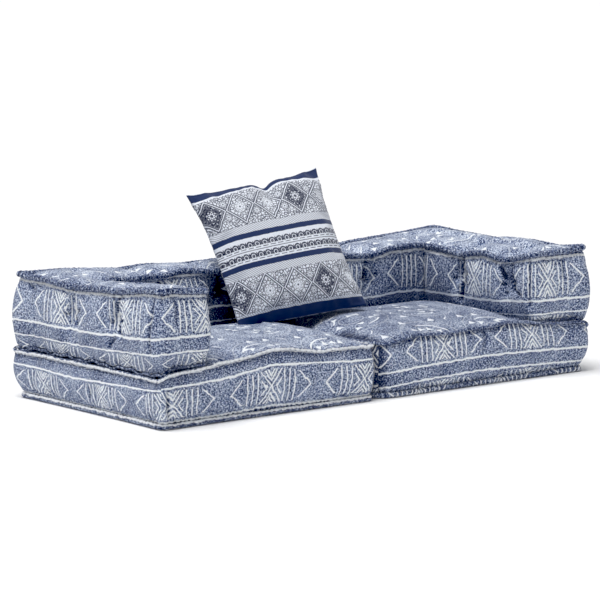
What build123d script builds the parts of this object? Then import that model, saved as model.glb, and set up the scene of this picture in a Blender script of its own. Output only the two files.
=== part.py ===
from build123d import *

import os
from collections import namedtuple
from math import sqrt

# A low modular floor sofa: two seat modules stand side by side, each carries an L-shaped
# bolster that is its arm and its back, and a square throw pillow leans on the backs.
# The origin is on the floor at the middle of the footprint, +X runs along the sofa,
# +Y to its back and +Z up. All lengths are in millimetres.
# Inside a module, u runs from the module's outer end to the split and v runs along +Y.

# Plan of the two modules
left_length = 795.0
right_length = 865.0
module_gap = 0.4
depth = 730.0
left_arm_width = 175.0
right_arm_width = 230.0
back_width = 220.0

# Heights
seat_height = 172.0
bolster_height = 190.0
bolster_crown = 16.0
left_seat_crown = 32.0
right_seat_crown = 40.0

# Edges of the box cushions: how far the seams draw in from the widest line
top_draw = 10.0
bottom_draw = 14.0
foot_draw = 24.0
corner_radius = 34.0
inner_corner_radius = 22.0
border_bands = 6
panel_facets = 4
flat_limit = 1e-5

# Piping and rolled edges
seat_roll_radius = 8.7
piping_radius = 5.0
soft_gap = 0.3
cord_sides = 6

# Sewn tufts of the bolsters
tuft_depth = 18.0
tuft_height_share = 0.58
crease_reach_share = 0.6
level_shares = (0.0, 0.1, 0.22, 0.34, 0.46, 0.58, 0.69, 0.8, 0.9, 1.0)
tie_radius = 1.5
knot_radius = 4.5
knot_lift = 0.6
knot_tip_share = 0.45
tie_sides = 6

# Places of the tufts, as shares of the depth on the arms and of the module's length behind
left_arm_tuft_shares = (0.288, 0.597)
right_arm_tuft_shares = (0.145, 0.458)
left_back_tuft_shares = (0.465, 0.742)
right_back_tuft_shares = (0.543, 0.803)

# Crown of the seats, with shares of its plan for how far its slopes reach in
dome_bands = 7
dome_margin = 4.0
dome_edge_radius = 24.0
dome_round_share = 0.5
dome_front_share = 0.445
dome_back_share = 0.465
dome_arm_share = 0.275
dome_split_share = 0.385
narrow_share = 0.45

# Crown of the bolsters
crown_bands = 4
crown_reach_share = 0.8

# Foam blocks inside the covers
core_margin = 34.0
core_lid = 18.0
core_corner_radius = 16.0

# Throw pillow, standing on the seats and leaning on the backs
pillow_size = 450.0
pillow_facets = 8
pillow_half_thickness = 50.0
pillow_place_x = -47.0
pillow_start_y = -25.0
pillow_start_lift = 90.0
pillow_turn = -8.8
pillow_tilt = -6.7
pillow_lean = -28.7
pillow_dent = 24.0
pillow_bottom_hollow = 4.0
settle_steps = 5
settle_gap = 0.5
pillow_height_shares = (0.0, 0.22, 0.44, 0.64, 0.81, 0.93, 1.0)
pillow_corner_shares = (1.0, 0.96, 0.9, 0.81, 0.68, 0.5, 0.26)
pillow_side_shares = (0.945, 0.925, 0.885, 0.82, 0.72, 0.55, 0.31)
insert_height_shares = (-1.0, -0.6, 0.0, 0.6, 1.0)
insert_corner_shares = (0.4, 0.66, 0.8, 0.66, 0.4)
insert_side_shares = (0.5, 0.74, 0.86, 0.74, 0.5)
cover_wall = 12.0

# Zip sewn into the pillow's bottom seam
zip_corner_gap = 55.0
zip_end_gap = 14.0
zip_mouth = 7.0
zip_mouth_depth = 7.0
zip_pocket = 15.0
tape_thickness = 0.8
tape_slit = 0.6
tooth_row_width = 1.5
tooth_row_height = 1.4
tooth_row_gap = 0.2
slider_length = 9.0
slider_wall = 0.7
slider_gap = 0.2
slider_bridge = 3.0
pull_length = 20.0
pull_width = 3.6
pull_thickness = 0.9
stop_length = 1.6
cut_overrun = 20.0

total_length = left_length + module_gap + right_length
front = -depth / 2
rear = depth / 2
back_front = rear - back_width
piping_offset = (piping_radius + soft_gap) / sqrt(2)
bolster_foot = seat_height + soft_gap
piping_step = 2 * (piping_radius + soft_gap)
bolster_edge = bolster_foot + bolster_height
border_foot = bolster_foot + piping_step
tuft_height = border_foot + tuft_height_share * (bolster_edge - border_foot)
zip_length = pillow_size - 2 * zip_corner_gap

Module = namedtuple("Module", "name side outer_x length arm_width arm_tufts back_tufts crown")
modules = (
    Module("left", 1, -total_length / 2, left_length, left_arm_width,
           [front + share * depth for share in left_arm_tuft_shares],
           [share * left_length for share in left_back_tuft_shares], left_seat_crown),
    Module("right", -1, total_length / 2, right_length, right_arm_width,
           [front + share * depth for share in right_arm_tuft_shares],
           [share * right_length for share in right_back_tuft_shares], right_seat_crown),
)


def place(module, point, z):
    """A module's (u, v) point, carried to the sofa's frame at height z."""
    return Vector(module.outer_x + module.side * point.X, point.Y, z)


def seat_corners(module):
    """The corners of a seat's rectangle, with the radius of each."""
    points = (
        Vector(0, front),
        Vector(module.length, front),
        Vector(module.length, rear),
        Vector(0, rear),
    )
    return points, [corner_radius] * len(points)


def bolster_corners(module):
    """The corners of the L, with the radius of each; the third is the hollow corner."""
    points = (
        Vector(0, front),
        Vector(module.arm_width, front),
        Vector(module.arm_width, back_front),
        Vector(module.length, back_front),
        Vector(module.length, rear),
        Vector(0, rear),
    )
    radii = [corner_radius] * len(points)
    radii[2] = inner_corner_radius
    return points, radii


def bolster_stations(module):
    """Where the tufts lie along each of the L's six sides, in the order they are passed."""
    arm = sorted(module.arm_tufts)
    back = sorted(module.back_tufts)
    return ((), arm, back, (), back[::-1], arm[::-1])


def outward(direction):
    """The outward normal of a side that is walked anticlockwise."""
    return Vector(direction.Y, -direction.X)


def bow(start, end, bulge, facets):
    """A run that bulges at its middle: one line or arc, or that many straight cuts along it."""
    run = Edge.make_line(start, end)
    if bulge.length > 0:
        run = Edge.make_three_point_arc(start, (start + end) / 2 + bulge, end)
    if not facets:
        return [run]
    points = [run @ (k / facets) for k in range(facets + 1)]
    return [Edge.make_line(*ends) for ends in zip(points, points[1:])]


def outline(module, corners, radii, z, inset=0.0, pull=0.0, stations=None, facets=0):
    """The edges, in order, of a closed plan outline with round corners, drawn in by inset.

    At each station the side is pulled in further, and it bulges back to its line between them.
    Sewn panels are cut in straight runs, as many as facets to a curve.
    """
    count = len(corners)
    runs = [(corners[(k + 1) % count] - corners[k]).normalized() for k in range(count)]
    spots = [
        corners[k] - (outward(runs[k - 1]) + outward(runs[k])) * inset for k in range(count)
    ]
    edges = []
    for k in range(count):
        ahead = (k + 1) % count
        run, normal = runs[k], outward(runs[k])
        points = [spots[k] + run * radii[k]]
        pulls = [0.0]
        for station in stations[k] if stations else ():
            along = abs(run.X) > abs(run.Y)
            on_side = Vector(station, spots[k].Y) if along else Vector(spots[k].X, station)
            points.append(on_side - normal * pull)
            pulls.append(pull)
        points.append(spots[ahead] - run * radii[ahead])
        pulls.append(0.0)
        for start, end, first, last in zip(points, points[1:], pulls, pulls[1:]):
            bulge = ((sqrt(first) + sqrt(last)) / 2) ** 2
            ends = place(module, start, z), place(module, end, z)
            out = Vector(module.side * normal.X, normal.Y) * bulge
            edges += bow(*ends, out, facets if len(points) > 2 else 0)
        radius, turn = radii[ahead], runs[ahead]
        centre = spots[ahead] - run * radius + turn * radius
        middle = centre + (run - turn) * (radius / sqrt(2))
        begin = place(module, spots[ahead] - run * radius, z)
        finish = place(module, spots[ahead] + turn * radius, z)
        edges += bow(begin, finish, place(module, middle, z) - (begin + finish) / 2, facets)
    return edges


def flat(points):
    """A flat face through points in order."""
    return Face(Wire.make_polygon(points, close=True))


def skin(rings):
    """A closed solid of flat panels, sewn round a stack of outlines with as many runs each."""
    rings = [[edge @ 0 for edge in ring] for ring in rings]
    panels = [flat(rings[0]), flat(rings[-1])]
    for low, high in zip(rings, rings[1:]):
        for k in range(len(low)):
            a, b, c, d = low[k - 1], low[k], high[k], high[k - 1]
            if abs((b - a).cross(d - a).normalized().dot(c - a)) < flat_limit:
                panels.append(flat([a, b, c, d]))
            else:
                panels += [flat([a, b, c]), flat([a, c, d])]
    return Solid(Shell(panels))


def arch(share):
    """How full a bulge is at a share of its height: none at both ends, all at the middle."""
    return 1 - (2 * share - 1) ** 2


def border_inset(share):
    """How far a border lies inside its widest line, from its bottom seam to its top seam."""
    drawn = bottom_draw + (top_draw - bottom_draw) * share
    return drawn * (1 - arch(share))


def crease(share):
    """How much of a tuft's depth reaches a share of the border's height."""
    away = (share - tuft_height_share) / crease_reach_share
    return max(0, 1 - away**2) ** 2


def prism(edges, height):
    """A straight-sided block on an outline."""
    return extrude(Face(Wire(edges)), amount=height, dir=(0, 0, 1))


def piping(module, corners, radii, edge_inset, offset, z, radius):
    """A cord that follows an outline at a distance, laid outside it."""
    grown = list(radii)
    for k in range(len(radii)):
        before = corners[k] - corners[k - 1]
        after = corners[(k + 1) % len(corners)] - corners[k]
        convex = before.X * after.Y - before.Y * after.X > 0
        grown[k] = radii[k] + offset if convex else radii[k] - offset
    path = Wire(outline(module, corners, grown, z, inset=edge_inset - offset))
    section = Plane(origin=path @ 0, z_dir=path % 0) * RegularPolygon(radius, cord_sides)
    return sweep(section, path=path)


def seat_dome(module):
    """The crown of the sitting area, from the arm to the split and from front to back."""
    near = module.arm_width - bottom_draw + dome_margin
    far = module.length - top_draw - dome_margin
    low = front + top_draw + dome_margin
    high = back_front + bottom_draw - dome_margin
    wires = []
    for band in range(dome_bands + 1):
        reach_share = band / dome_bands
        left = near + dome_arm_share * reach_share * (far - near)
        right = far - dome_split_share * reach_share * (far - near)
        bottom = low + dome_front_share * reach_share * (high - low)
        top = high - dome_back_share * reach_share * (high - low)
        corners = (
            Vector(left, bottom),
            Vector(right, bottom),
            Vector(right, top),
            Vector(left, top),
        )
        widest = dome_edge_radius + dome_round_share * (left - near)
        radius = min(widest, narrow_share * (right - left), narrow_share * (top - bottom))
        z = seat_height + module.crown * arch(reach_share / 2)
        wires.append(outline(module, corners, [radius] * len(corners), z, facets=panel_facets))
    return skin(wires)


def seat_pieces(module):
    """One seat: foam block, crowned cover, top piping and rolled bottom edge."""
    corners, radii = seat_corners(module)
    step = 2 * (seat_roll_radius + soft_gap)
    foot = prism(outline(module, corners, radii, 0.0, inset=foot_draw), step)
    border_wires = []
    for band in range(border_bands + 1):
        share = band / border_bands
        z = step + (seat_height - step) * share
        inset = border_inset(share)
        border_wires.append(outline(module, corners, radii, z, inset, facets=panel_facets))
    border = skin(border_wires)
    core_radii = [core_corner_radius] * len(corners)
    core = prism(
        outline(module, corners, core_radii, core_lid, inset=core_margin),
        seat_height - 2 * core_lid,
    )
    cover = foot + border + seat_dome(module) - core
    top = piping(module, corners, radii, top_draw, piping_offset,
                 seat_height + piping_offset, piping_radius)
    reach = seat_roll_radius + soft_gap
    roll = piping(module, corners, radii, foot_draw, reach, reach, seat_roll_radius)
    return {
        "seat_core": core,
        "seat_cover": cover,
        "seat_top_welt": top,
        "seat_bottom_roll": roll,
    }


def tie(start, direction, length):
    """Twine through the bolster, with a knot in the dimple at each end."""
    lift = knot_radius + knot_lift
    stations = (
        (-lift - knot_radius, knot_tip_share * knot_radius),
        (-lift, knot_radius),
        (knot_radius - lift, tie_radius),
        (length + lift - knot_radius, tie_radius),
        (length + lift, knot_radius),
        (length + lift + knot_radius, knot_tip_share * knot_radius),
    )
    rings = []
    for along, radius in stations:
        frame = Plane(origin=start + direction * along, x_dir=(0, 0, 1), z_dir=direction)
        rings.append((frame * RegularPolygon(radius, tie_sides)).face().outer_wire().edges())
    return skin(rings)


def bolster_ties(module):
    """Every tie of one bolster: across the arm, and from front to back through the back."""
    across = Vector(module.side, 0, 0)
    ties = []
    for v in module.arm_tufts:
        start = place(module, Vector(tuft_depth, v), tuft_height)
        ties.append(tie(start, across, module.arm_width - 2 * tuft_depth))
    for u in module.back_tufts:
        start = place(module, Vector(u, back_front + tuft_depth), tuft_height)
        ties.append(tie(start, Vector(0, 1, 0), back_width - 2 * tuft_depth))
    return ties


def bolster_pieces(module):
    """One L-shaped bolster: foam, tufted cover, piping at both seams and its ties."""
    corners, radii = bolster_corners(module)
    stations = bolster_stations(module)
    foot = prism(outline(module, corners, radii, bolster_foot, inset=foot_draw), piping_step)
    border_wires = []
    for share in level_shares:
        z = border_foot + (bolster_edge - border_foot) * share
        pull = tuft_depth * crease(share)
        border_wires.append(
            outline(module, corners, radii, z, border_inset(share), pull, stations, panel_facets)
        )
    border = skin(border_wires)
    narrower = min(module.arm_width, back_width)
    crown_reach = crown_reach_share * (narrower / 2 - top_draw)
    crown_wires = []
    for band in range(crown_bands + 1):
        reach_share = band / crown_bands
        inset = top_draw + crown_reach * reach_share
        ridge = narrower - 2 * inset
        tight = [min(radius, narrow_share * ridge) for radius in radii]
        z = bolster_edge + bolster_crown * arch(reach_share / 2)
        crown_wires.append(outline(module, corners, tight, z, inset, facets=panel_facets))
    crown = skin(crown_wires)
    core_radii = [core_corner_radius] * len(corners)
    core = prism(
        outline(module, corners, core_radii, bolster_foot + core_lid, inset=core_margin),
        bolster_height - 2 * core_lid,
    )
    ties = bolster_ties(module)
    cover = foot + border + crown - core
    for each in ties:
        cover = cover - each
        core = core - each
    low = piping(module, corners, radii, foot_draw, piping_radius + soft_gap,
                 bolster_foot + piping_radius + soft_gap, piping_radius)
    top = piping(module, corners, radii, top_draw, piping_offset,
                 bolster_edge + piping_offset, piping_radius)
    return {
        "bolster_core": core,
        "bolster_cover": cover,
        "bolster_bottom_welt": low,
        "bolster_top_welt": top,
        "bolster_ties": Compound(children=[each.solid() for each in ties]),
    }


def pillow_outline(corner, sides, z):
    """Edges of four bowed sides between four corners; sides are the reaches at the middles."""
    right, top, left, bottom = sides
    corners = (
        Vector(-corner, -corner, z),
        Vector(corner, -corner, z),
        Vector(corner, corner, z),
        Vector(-corner, corner, z),
    )
    middles = (
        Vector(0, -bottom, z),
        Vector(right, 0, z),
        Vector(0, top, z),
        Vector(-left, 0, z),
    )
    edges = []
    for start, end, middle in zip(corners, corners[1:] + corners[:1], middles):
        edges += bow(start, end, middle - (start + end) / 2, pillow_facets)
    return edges


def pillow_halves():
    """The two panels' bulging solid, with eared corners and a dent in its top edge."""
    half = pillow_size / 2
    wires = []
    shares = zip(pillow_height_shares, pillow_corner_shares, pillow_side_shares)
    for height_share, corner_share, side_share in shares:
        side = side_share * half
        fade = 1 - height_share
        bottom = side * height_share + (half - pillow_bottom_hollow) * fade
        top = side - pillow_dent * (1 - height_share / 2)
        sides = (side, top, side, bottom)
        wires.append(pillow_outline(corner_share * half, sides,
                                    pillow_half_thickness * height_share))
    upper = skin(wires)
    return upper + mirror(upper, about=Plane.XY)


def pillow_insert():
    """The plain fibre-filled inner bag."""
    half = pillow_size / 2
    thickness = pillow_half_thickness - cover_wall
    wires = []
    shares = zip(insert_height_shares, insert_corner_shares, insert_side_shares)
    for height_share, corner_share, side_share in shares:
        side = side_share * half
        sides = (side, side - pillow_dent / 2, side, side)
        wires.append(pillow_outline(corner_share * half, sides, thickness * height_share))
    return skin(wires)


def span_box(x0, x1, y0, y1, z0, z1):
    """A box from its two opposite corners."""
    middle = ((x0 + x1) / 2, (y0 + y1) / 2, (z0 + z1) / 2)
    return Pos(*middle) * Box(x1 - x0, y1 - y0, z1 - z0)


def pillow_pieces():
    """The pillow in its own frame: width on X, height on Y, thickness on Z."""
    insert = pillow_insert()
    edge = -pillow_size / 2 + pillow_bottom_hollow
    seam = edge + zip_mouth_depth
    reach = zip_length / 2 + zip_end_gap
    half_mouth = zip_mouth / 2
    half_pocket = zip_pocket / 2
    half_slit = tape_slit / 2
    mouth = span_box(-reach, reach, edge - cut_overrun, seam, -half_mouth, half_mouth)
    pocket = span_box(-reach, reach, seam, seam + tape_thickness, -half_pocket, half_pocket)
    cover = pillow_halves() - insert - mouth - pocket
    inner_row = tooth_row_gap / 2
    outer_row = inner_row + tooth_row_width
    tapes, rows, stops = [], [], []
    for side in (-1, 1):
        near, far = sorted((side * half_slit, side * half_pocket))
        tapes.append(span_box(-reach, reach, seam, seam + tape_thickness, near, far))
        near, far = sorted((side * inner_row, side * outer_row))
        rows.append(
            span_box(-zip_length / 2, zip_length / 2, seam - tooth_row_height, seam, near, far)
        )
        ends = sorted((side * zip_length / 2, side * (zip_length / 2 + stop_length)))
        stops.append(span_box(*ends, seam - tooth_row_height, seam, -outer_row, outer_row))
    start = -zip_length / 2 + slider_gap
    plate = seam - tooth_row_height - slider_gap
    flank = outer_row + slider_gap
    body = span_box(start, start + slider_length, plate - slider_wall, plate,
                    -flank - slider_wall, flank + slider_wall)
    for side in (-1, 1):
        near, far = sorted((side * flank, side * (flank + slider_wall)))
        body += span_box(start, start + slider_length, plate, seam - slider_gap, near, far)
    hinge = start + (slider_length - slider_bridge) / 2
    hook = plate - slider_wall - 2 * slider_wall - pull_thickness
    bar = slider_wall / 2
    body += span_box(hinge, hinge + slider_wall, hook, plate - slider_wall, -bar, bar)
    body += span_box(hinge + slider_bridge - slider_wall, hinge + slider_bridge, hook,
                     plate - slider_wall, -bar, bar)
    body += span_box(hinge, hinge + slider_bridge, hook - slider_wall, hook, -bar, bar)
    level = hook + slider_wall / 2
    pull = span_box(hinge - slider_wall, hinge - slider_wall + pull_length, level,
                    level + pull_thickness, -pull_width / 2, pull_width / 2)
    window = span_box(hinge - slider_gap, hinge + slider_bridge + slider_gap,
                      level - slider_wall, level + pull_thickness + slider_wall,
                      -bar - slider_gap, bar + slider_gap)
    pull = pull - window
    return {
        "pillow_cover": cover,
        "pillow_insert": insert,
        "pillow_zip_tapes": Compound(children=[t.solid() for t in tapes]),
        "pillow_zip_teeth": Compound(children=[r.solid() for r in rows]),
        "pillow_zip_stops": Compound(children=[s.solid() for s in stops]),
        "pillow_zip_slider": body,
        "pillow_zip_pull": pull,
    }


def pillow_pose(y, z):
    """Where the pillow stands: turned, tilted and leaned back about its bottom edge."""
    turned = Rot(0, 0, pillow_turn) * Rot(0, pillow_tilt, 0) * Rot(pillow_lean, 0, 0)
    upright = Rot(90, 0, 0) * Pos(0, pillow_size / 2, 0)
    return Pos(pillow_place_x, y, z) * turned * upright


def settle(pillow, seats, backs):
    """Lower the pillow onto the seats and push it back to the bolsters, in turn."""
    y = pillow_start_y
    z = seat_height + pillow_start_lift
    for _ in range(settle_steps):
        z -= min((pillow_pose(y, z) * pillow).distance_to(s) for s in seats) - settle_gap
        y += min((pillow_pose(y, z) * pillow).distance_to(b) for b in backs) - settle_gap
    return pillow_pose(y, z)


def main():
    pieces = {}
    for module in modules:
        for name, piece in {**seat_pieces(module), **bolster_pieces(module)}.items():
            pieces[f"{module.name}_{name}"] = piece
    pillow = pillow_pieces()
    seats = [pieces[f"{module.name}_seat_cover"] for module in modules]
    backs = [pieces[f"{module.name}_bolster_top_welt"] for module in modules]
    pose = settle(pillow["pillow_cover"], seats, backs)
    for name, piece in pillow.items():
        pieces[name] = pose * piece
    os.makedirs("parts", exist_ok=True)
    for name, piece in pieces.items():
        export_step(piece, os.path.join("parts", f"{name}.step"))
    zip_run = Plane(pose).x_dir
    print("the zip runs along", zip_run, "for", zip_length - slider_length - 2 * slider_gap)


if __name__ == "__main__":
    main()
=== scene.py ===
# %% [markdown]
# # A low modular floor sofa
# Two square seat mattresses carry two L-shaped bolsters, which are the arms and the back, and a
# throw pillow leans in the middle. Everything is soft: cotton covers sewn over foam and wadding,
# with rolled edges, and twine pulled through the bolsters so that they dimple.
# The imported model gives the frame, and every piece made here goes where that frame says.

# %% The frame
import bmesh
import bpy
import math
import numpy as np
from collections import namedtuple
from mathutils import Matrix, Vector
from mathutils.bvhtree import BVHTree
from mathutils.kdtree import KDTree


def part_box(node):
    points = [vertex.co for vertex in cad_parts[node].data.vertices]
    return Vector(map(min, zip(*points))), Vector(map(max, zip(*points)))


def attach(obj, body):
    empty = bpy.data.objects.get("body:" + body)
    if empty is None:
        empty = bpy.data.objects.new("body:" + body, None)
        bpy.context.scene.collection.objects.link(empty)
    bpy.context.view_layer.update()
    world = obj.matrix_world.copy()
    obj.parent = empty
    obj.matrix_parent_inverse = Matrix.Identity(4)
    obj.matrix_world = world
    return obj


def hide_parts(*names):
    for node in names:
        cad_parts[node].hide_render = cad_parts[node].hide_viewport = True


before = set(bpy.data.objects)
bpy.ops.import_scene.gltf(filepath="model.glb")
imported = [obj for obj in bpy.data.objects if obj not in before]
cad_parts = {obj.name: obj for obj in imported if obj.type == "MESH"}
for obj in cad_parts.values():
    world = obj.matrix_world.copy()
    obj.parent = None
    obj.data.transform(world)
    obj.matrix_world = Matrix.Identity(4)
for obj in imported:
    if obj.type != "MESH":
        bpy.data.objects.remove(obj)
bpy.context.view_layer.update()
scene = bpy.context.scene

# %% [markdown]
# ## Camera, floor and light
# A product photo like this one is shot with a long lens from a little above the seat, in a white
# studio. A long lens keeps the far arm nearly as large as the near one. One big soft lamp hangs
# almost straight overhead, so the tops are bright and the sides fall off, a weak one fills from
# the front, and the white world does the rest.
# The photo's darkest folds are printed nearly black. The view's black level does the same: it
# takes a little off every colour, which only the darkest ones show.

# %% Camera
camera = bpy.data.objects.new("camera", bpy.data.cameras.new("camera"))
scene.collection.objects.link(camera)
camera.location = (-5.474, -6.718, 1.471)
camera.rotation_euler = (math.radians(90 - 7.95), 0, math.radians(-38.99))
camera.data.lens = 170.9
camera.data.clip_end = 60
scene.camera = camera
scene.view_settings.view_transform = "Standard"
scene.view_settings.use_curve_mapping = True
scene.view_settings.curve_mapping.black_level = (0.016, 0.015, 0.011)
scene.view_settings.curve_mapping.update()
print("camera", tuple(camera.location), "lens", camera.data.lens)


# %% [markdown]
# ## Helpers for nodes and colours
# Colours are written as the sRGB hex values that a designer would note, and turned to linear
# light once. One function adds a node: its plain values and links go to the inputs in order.
# Arithmetic takes many nodes, so a second one reads a nested sum and adds a node for each sign
# in it. "fold" runs up and down like a folded ruler, and "mod" starts again at every repeat.


# %% Node helpers
def ink(text, alpha=1.0):
    """A linear colour from an sRGB hex value."""
    parts = [int(text[k:k + 2], 16) / 255 for k in (1, 3, 5)]
    return [c / 12.92 if c <= 0.04045 else ((c + 0.055) / 1.055) ** 2.4 for c in parts] + [alpha]


def add(tree, kind, *inputs, sockets=None, **settings):
    """Adds a node, sets it up, and feeds its inputs in order with values or links."""
    node = tree.nodes.new(kind)
    for name, value in settings.items():
        setattr(node, name, value)
    feeds = list(enumerate(inputs)) + list((sockets or {}).items())
    for key, value in feeds:
        if value is None:
            continue
        socket = node.inputs[key]
        if isinstance(value, bpy.types.NodeSocket):
            tree.links.new(value, socket)
        else:
            socket.default_value = value
    return node


SIGNS = {"+": "ADD", "-": "SUBTRACT", "*": "MULTIPLY", "/": "DIVIDE", "**": "POWER",
         ">": "GREATER_THAN", "<": "LESS_THAN", "max": "MAXIMUM", "min": "MINIMUM",
         "abs": "ABSOLUTE", "mod": "FLOORED_MODULO", "fold": "PINGPONG"}
FLAT = dict(noise_dimensions="2D")
FLAT_CELLS = dict(voronoi_dimensions="2D")
SOFT_EDGE = dict(interpolation_type="SMOOTHSTEP")
COLOURS = dict(data_type="RGBA")


def reckon(tree, sum_of):
    """Turns a nested sum such as ("+", a, ("abs", b)) into nodes, and gives its result."""
    if not isinstance(sum_of, tuple):
        return sum_of
    sign, *parts = sum_of
    parts = [reckon(tree, part) for part in parts]
    return add(tree, "ShaderNodeMath", *parts, operation=SIGNS.get(sign, sign.upper())).outputs[0]


def material(name):
    """A new material with an empty tree, its output and its shader."""
    made = bpy.data.materials.new(name)
    made.use_nodes = True
    made.node_tree.nodes.clear()
    tree = made.node_tree
    shader = add(tree, "ShaderNodeBsdfPrincipled")
    add(tree, "ShaderNodeOutputMaterial", shader.outputs[0])
    return made, tree, shader


# %% Floor, lamps and world
FAR = 30
floor_mesh = bpy.data.meshes.new("floor")
floor_mesh.from_pydata([(-FAR, -FAR, 0), (FAR, -FAR, 0), (FAR, FAR, 0), (-FAR, FAR, 0)], [],
                       [(0, 1, 2, 3)])
floor = bpy.data.objects.new("floor", floor_mesh)
scene.collection.objects.link(floor)
pale, tree, shader = material("pale studio floor")
shader.inputs["Base Color"].default_value = ink("#fbfbfb")
shader.inputs["Roughness"].default_value = 0.9
floor_mesh.materials.append(pale)

world = bpy.data.worlds.new("white studio")
scene.world = world
world.use_nodes = True
world.node_tree.nodes.clear()
sky = add(world.node_tree, "ShaderNodeBackground", ink("#ffffff"), 0.25)
add(world.node_tree, "ShaderNodeOutputWorld", sky.outputs[0])

for name, aim, spread, power in (
    ("overhead softbox", (0.25, 0.02, -0.97), 34, 2.78),
    ("front fill", (0.20, 0.75, -0.62), 70, 0.12),
):
    lamp = bpy.data.lights.new(name, "SUN")
    lamp.angle = math.radians(spread)
    lamp.energy = power
    holder = bpy.data.objects.new(name, lamp)
    scene.collection.objects.link(holder)
    holder.rotation_euler = Vector(aim).to_track_quat("-Z", "Y").to_euler()
print("lamps:", ", ".join(lamp.name for lamp in bpy.data.lights))

# %% [markdown]
# ## The woven print
# The covers are a heavy cotton dobby: blue and grey slub yarns with white yarn floated on top
# for the pattern. The print runs in strips 150 mm wide. A strip is a row of crosses, bars and
# arrowheads, 105 mm tall between two white lines, and then a plain band of 45 mm.
# It is drawn from distances: for every point of the cloth the nodes work out how far the nearest
# stroke is, in metres on the cloth's own UV map, and where that is under half a yarn's width
# the cloth is white and a little raised. So the lines stay sharp at any zoom, and follow each
# pucker, because the map was made before the cloth was puffed.

# %% Strokes of the woven motif
STRIP, MOTIF, HALF_REPEAT = 0.150, 0.105, 0.171
PLAIN_BAND = STRIP - MOTIF
STROKE = 0.0021  # half the width of a white line
print("strips of", STRIP, "m, with a cross every", 2 * HALF_REPEAT, "m")


def motif_distance(tree, along, up):
    """How far a point of the cloth lies from the nearest white stroke, in metres."""
    side = ("fold", along, HALF_REPEAT)
    height = ("mod", up, STRIP)
    side, height = reckon(tree, side), reckon(tree, height)
    off = reckon(tree, ("abs", ("-", height, MOTIF / 2)))
    line = ("min", ("fold", up, STRIP / 2), ("fold", ("-", up, MOTIF), STRIP / 2))
    bars = ("max", ("fold", ("-", side, 0.047), 0.00925),
            ("max", ("max", ("-", side, 0.089), ("-", 0.044, side)),
             ("-", off, 0.039)))
    cross = ("max", ("*", ("abs", ("-", side, ("*", off, 0.86))), 0.76),
             ("-", off, 0.040))
    peaks = ("-", ("-", off, ("*", side, 1.25)), 0.0225)
    peaks = ("max", ("*", ("abs", ("-", ("abs", peaks), 0.0065)), 0.62),
             ("-", off, 0.040))
    hooks = ("*", ("abs", ("-", ("-", side, off), 0.0165)), 0.71)
    hooks = ("max", hooks, ("-", side, 0.034))
    arrow = ("*", ("abs", ("-", ("+", side, ("*", off, 1.19)), 0.142)), 0.64)
    arrow = ("max", arrow, ("-", off, 0.033))
    line = ("-", line, 0.0010)
    strokes = ("min", ("min", line, bars), ("min", cross, ("min", peaks, arrow)))
    return reckon(tree, ("min", strokes, hooks))


# %% [markdown]
# The ground of the cloth is slub yarn: short dashes of navy, grey-blue and near white. The real
# yarns are about 1.5 mm thick, under one pixel of the picture, so the dashes are drawn about
# 6 mm long and 4 mm tall, as coarse as they need to show.


# %% Ground weave
DASHES = (165.0, 245.0, 1.0)  # dashes in a metre, along the strip and across it
THREADS = (420.0, 150.0, 1.0)  # finer ones that cross them
BASKET = 1150.0  # radians in a metre, so that the weave's checks are 5.5 mm apart
SHADES = ((0.37, "#1b2748"), (0.64, "#dde4f0"), (0.44, "#3f5080"), (0.50, "#7888ac"),
          (0.56, "#acb9d2"))


def slub_ground(tree, cloth, worn=0.0):
    """Colour and height of the heathered weave, from the cloth's coordinates in metres."""
    dashes = add(tree, "ShaderNodeMapping", cloth, None, None, DASHES, vector_type="POINT")
    slub = add(tree, "ShaderNodeTexNoise", dashes.outputs[0], None, 1.0, 2.0, 0.75, **FLAT)
    threads = add(tree, "ShaderNodeMapping", cloth, None, None, THREADS, vector_type="POINT")
    weft = add(tree, "ShaderNodeTexNoise", threads.outputs[0], None, 1.0, 1.0, 0.5, **FLAT)
    wash = add(tree, "ShaderNodeTexNoise", cloth, None, 14.0, 2.0, 0.6, **FLAT)
    # The fold attribute carries painted shade: where it is set, the ground is taken darker.
    fold = add(tree, "ShaderNodeAttribute", attribute_name="fold").outputs["Fac"]
    parts = add(tree, "ShaderNodeSeparateXYZ", cloth)
    basket = ("*", *(("sine", ("*", parts.outputs[k], BASKET)) for k in (0, 1)))
    mix = ("+", ("*", slub.outputs[0], 0.66), ("*", weft.outputs[0], 0.34))
    mix = ("+", ("+", 0.5, ("*", ("-", mix, 0.5), 1.45)), ("*", basket, 0.03))
    mix = ("+", mix, ("*", ("-", wash.outputs[0], 0.5), 0.14))
    mix = reckon(tree, ("+", ("-", mix, ("*", fold, 0.13)), worn))
    ramp = add(tree, "ShaderNodeValToRGB", mix)
    stops = ramp.color_ramp.elements
    for stop, (place, shade) in zip(stops[:], SHADES):
        stop.position, stop.color = place, ink(shade)
    for place, shade in SHADES[2:]:
        stops.new(place).color = ink(shade)
    return ramp.outputs[0], mix


def fold_shade(tree, tone, stroke):
    """Paints shade into folds and corners, since the photo shows them nearly black, strokes less so.
    """
    fold = add(tree, "ShaderNodeAttribute", attribute_name="fold").outputs["Fac"]
    amount = reckon(tree, ("*", fold, ("-", 0.70, ("*", stroke, 0.26))))
    # The painted shade's colour is a dark navy.
    return add(tree, "ShaderNodeMix", **COLOURS,
               sockets={0: amount, 6: tone.outputs[2], 7: ink("#0f1833")})


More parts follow.
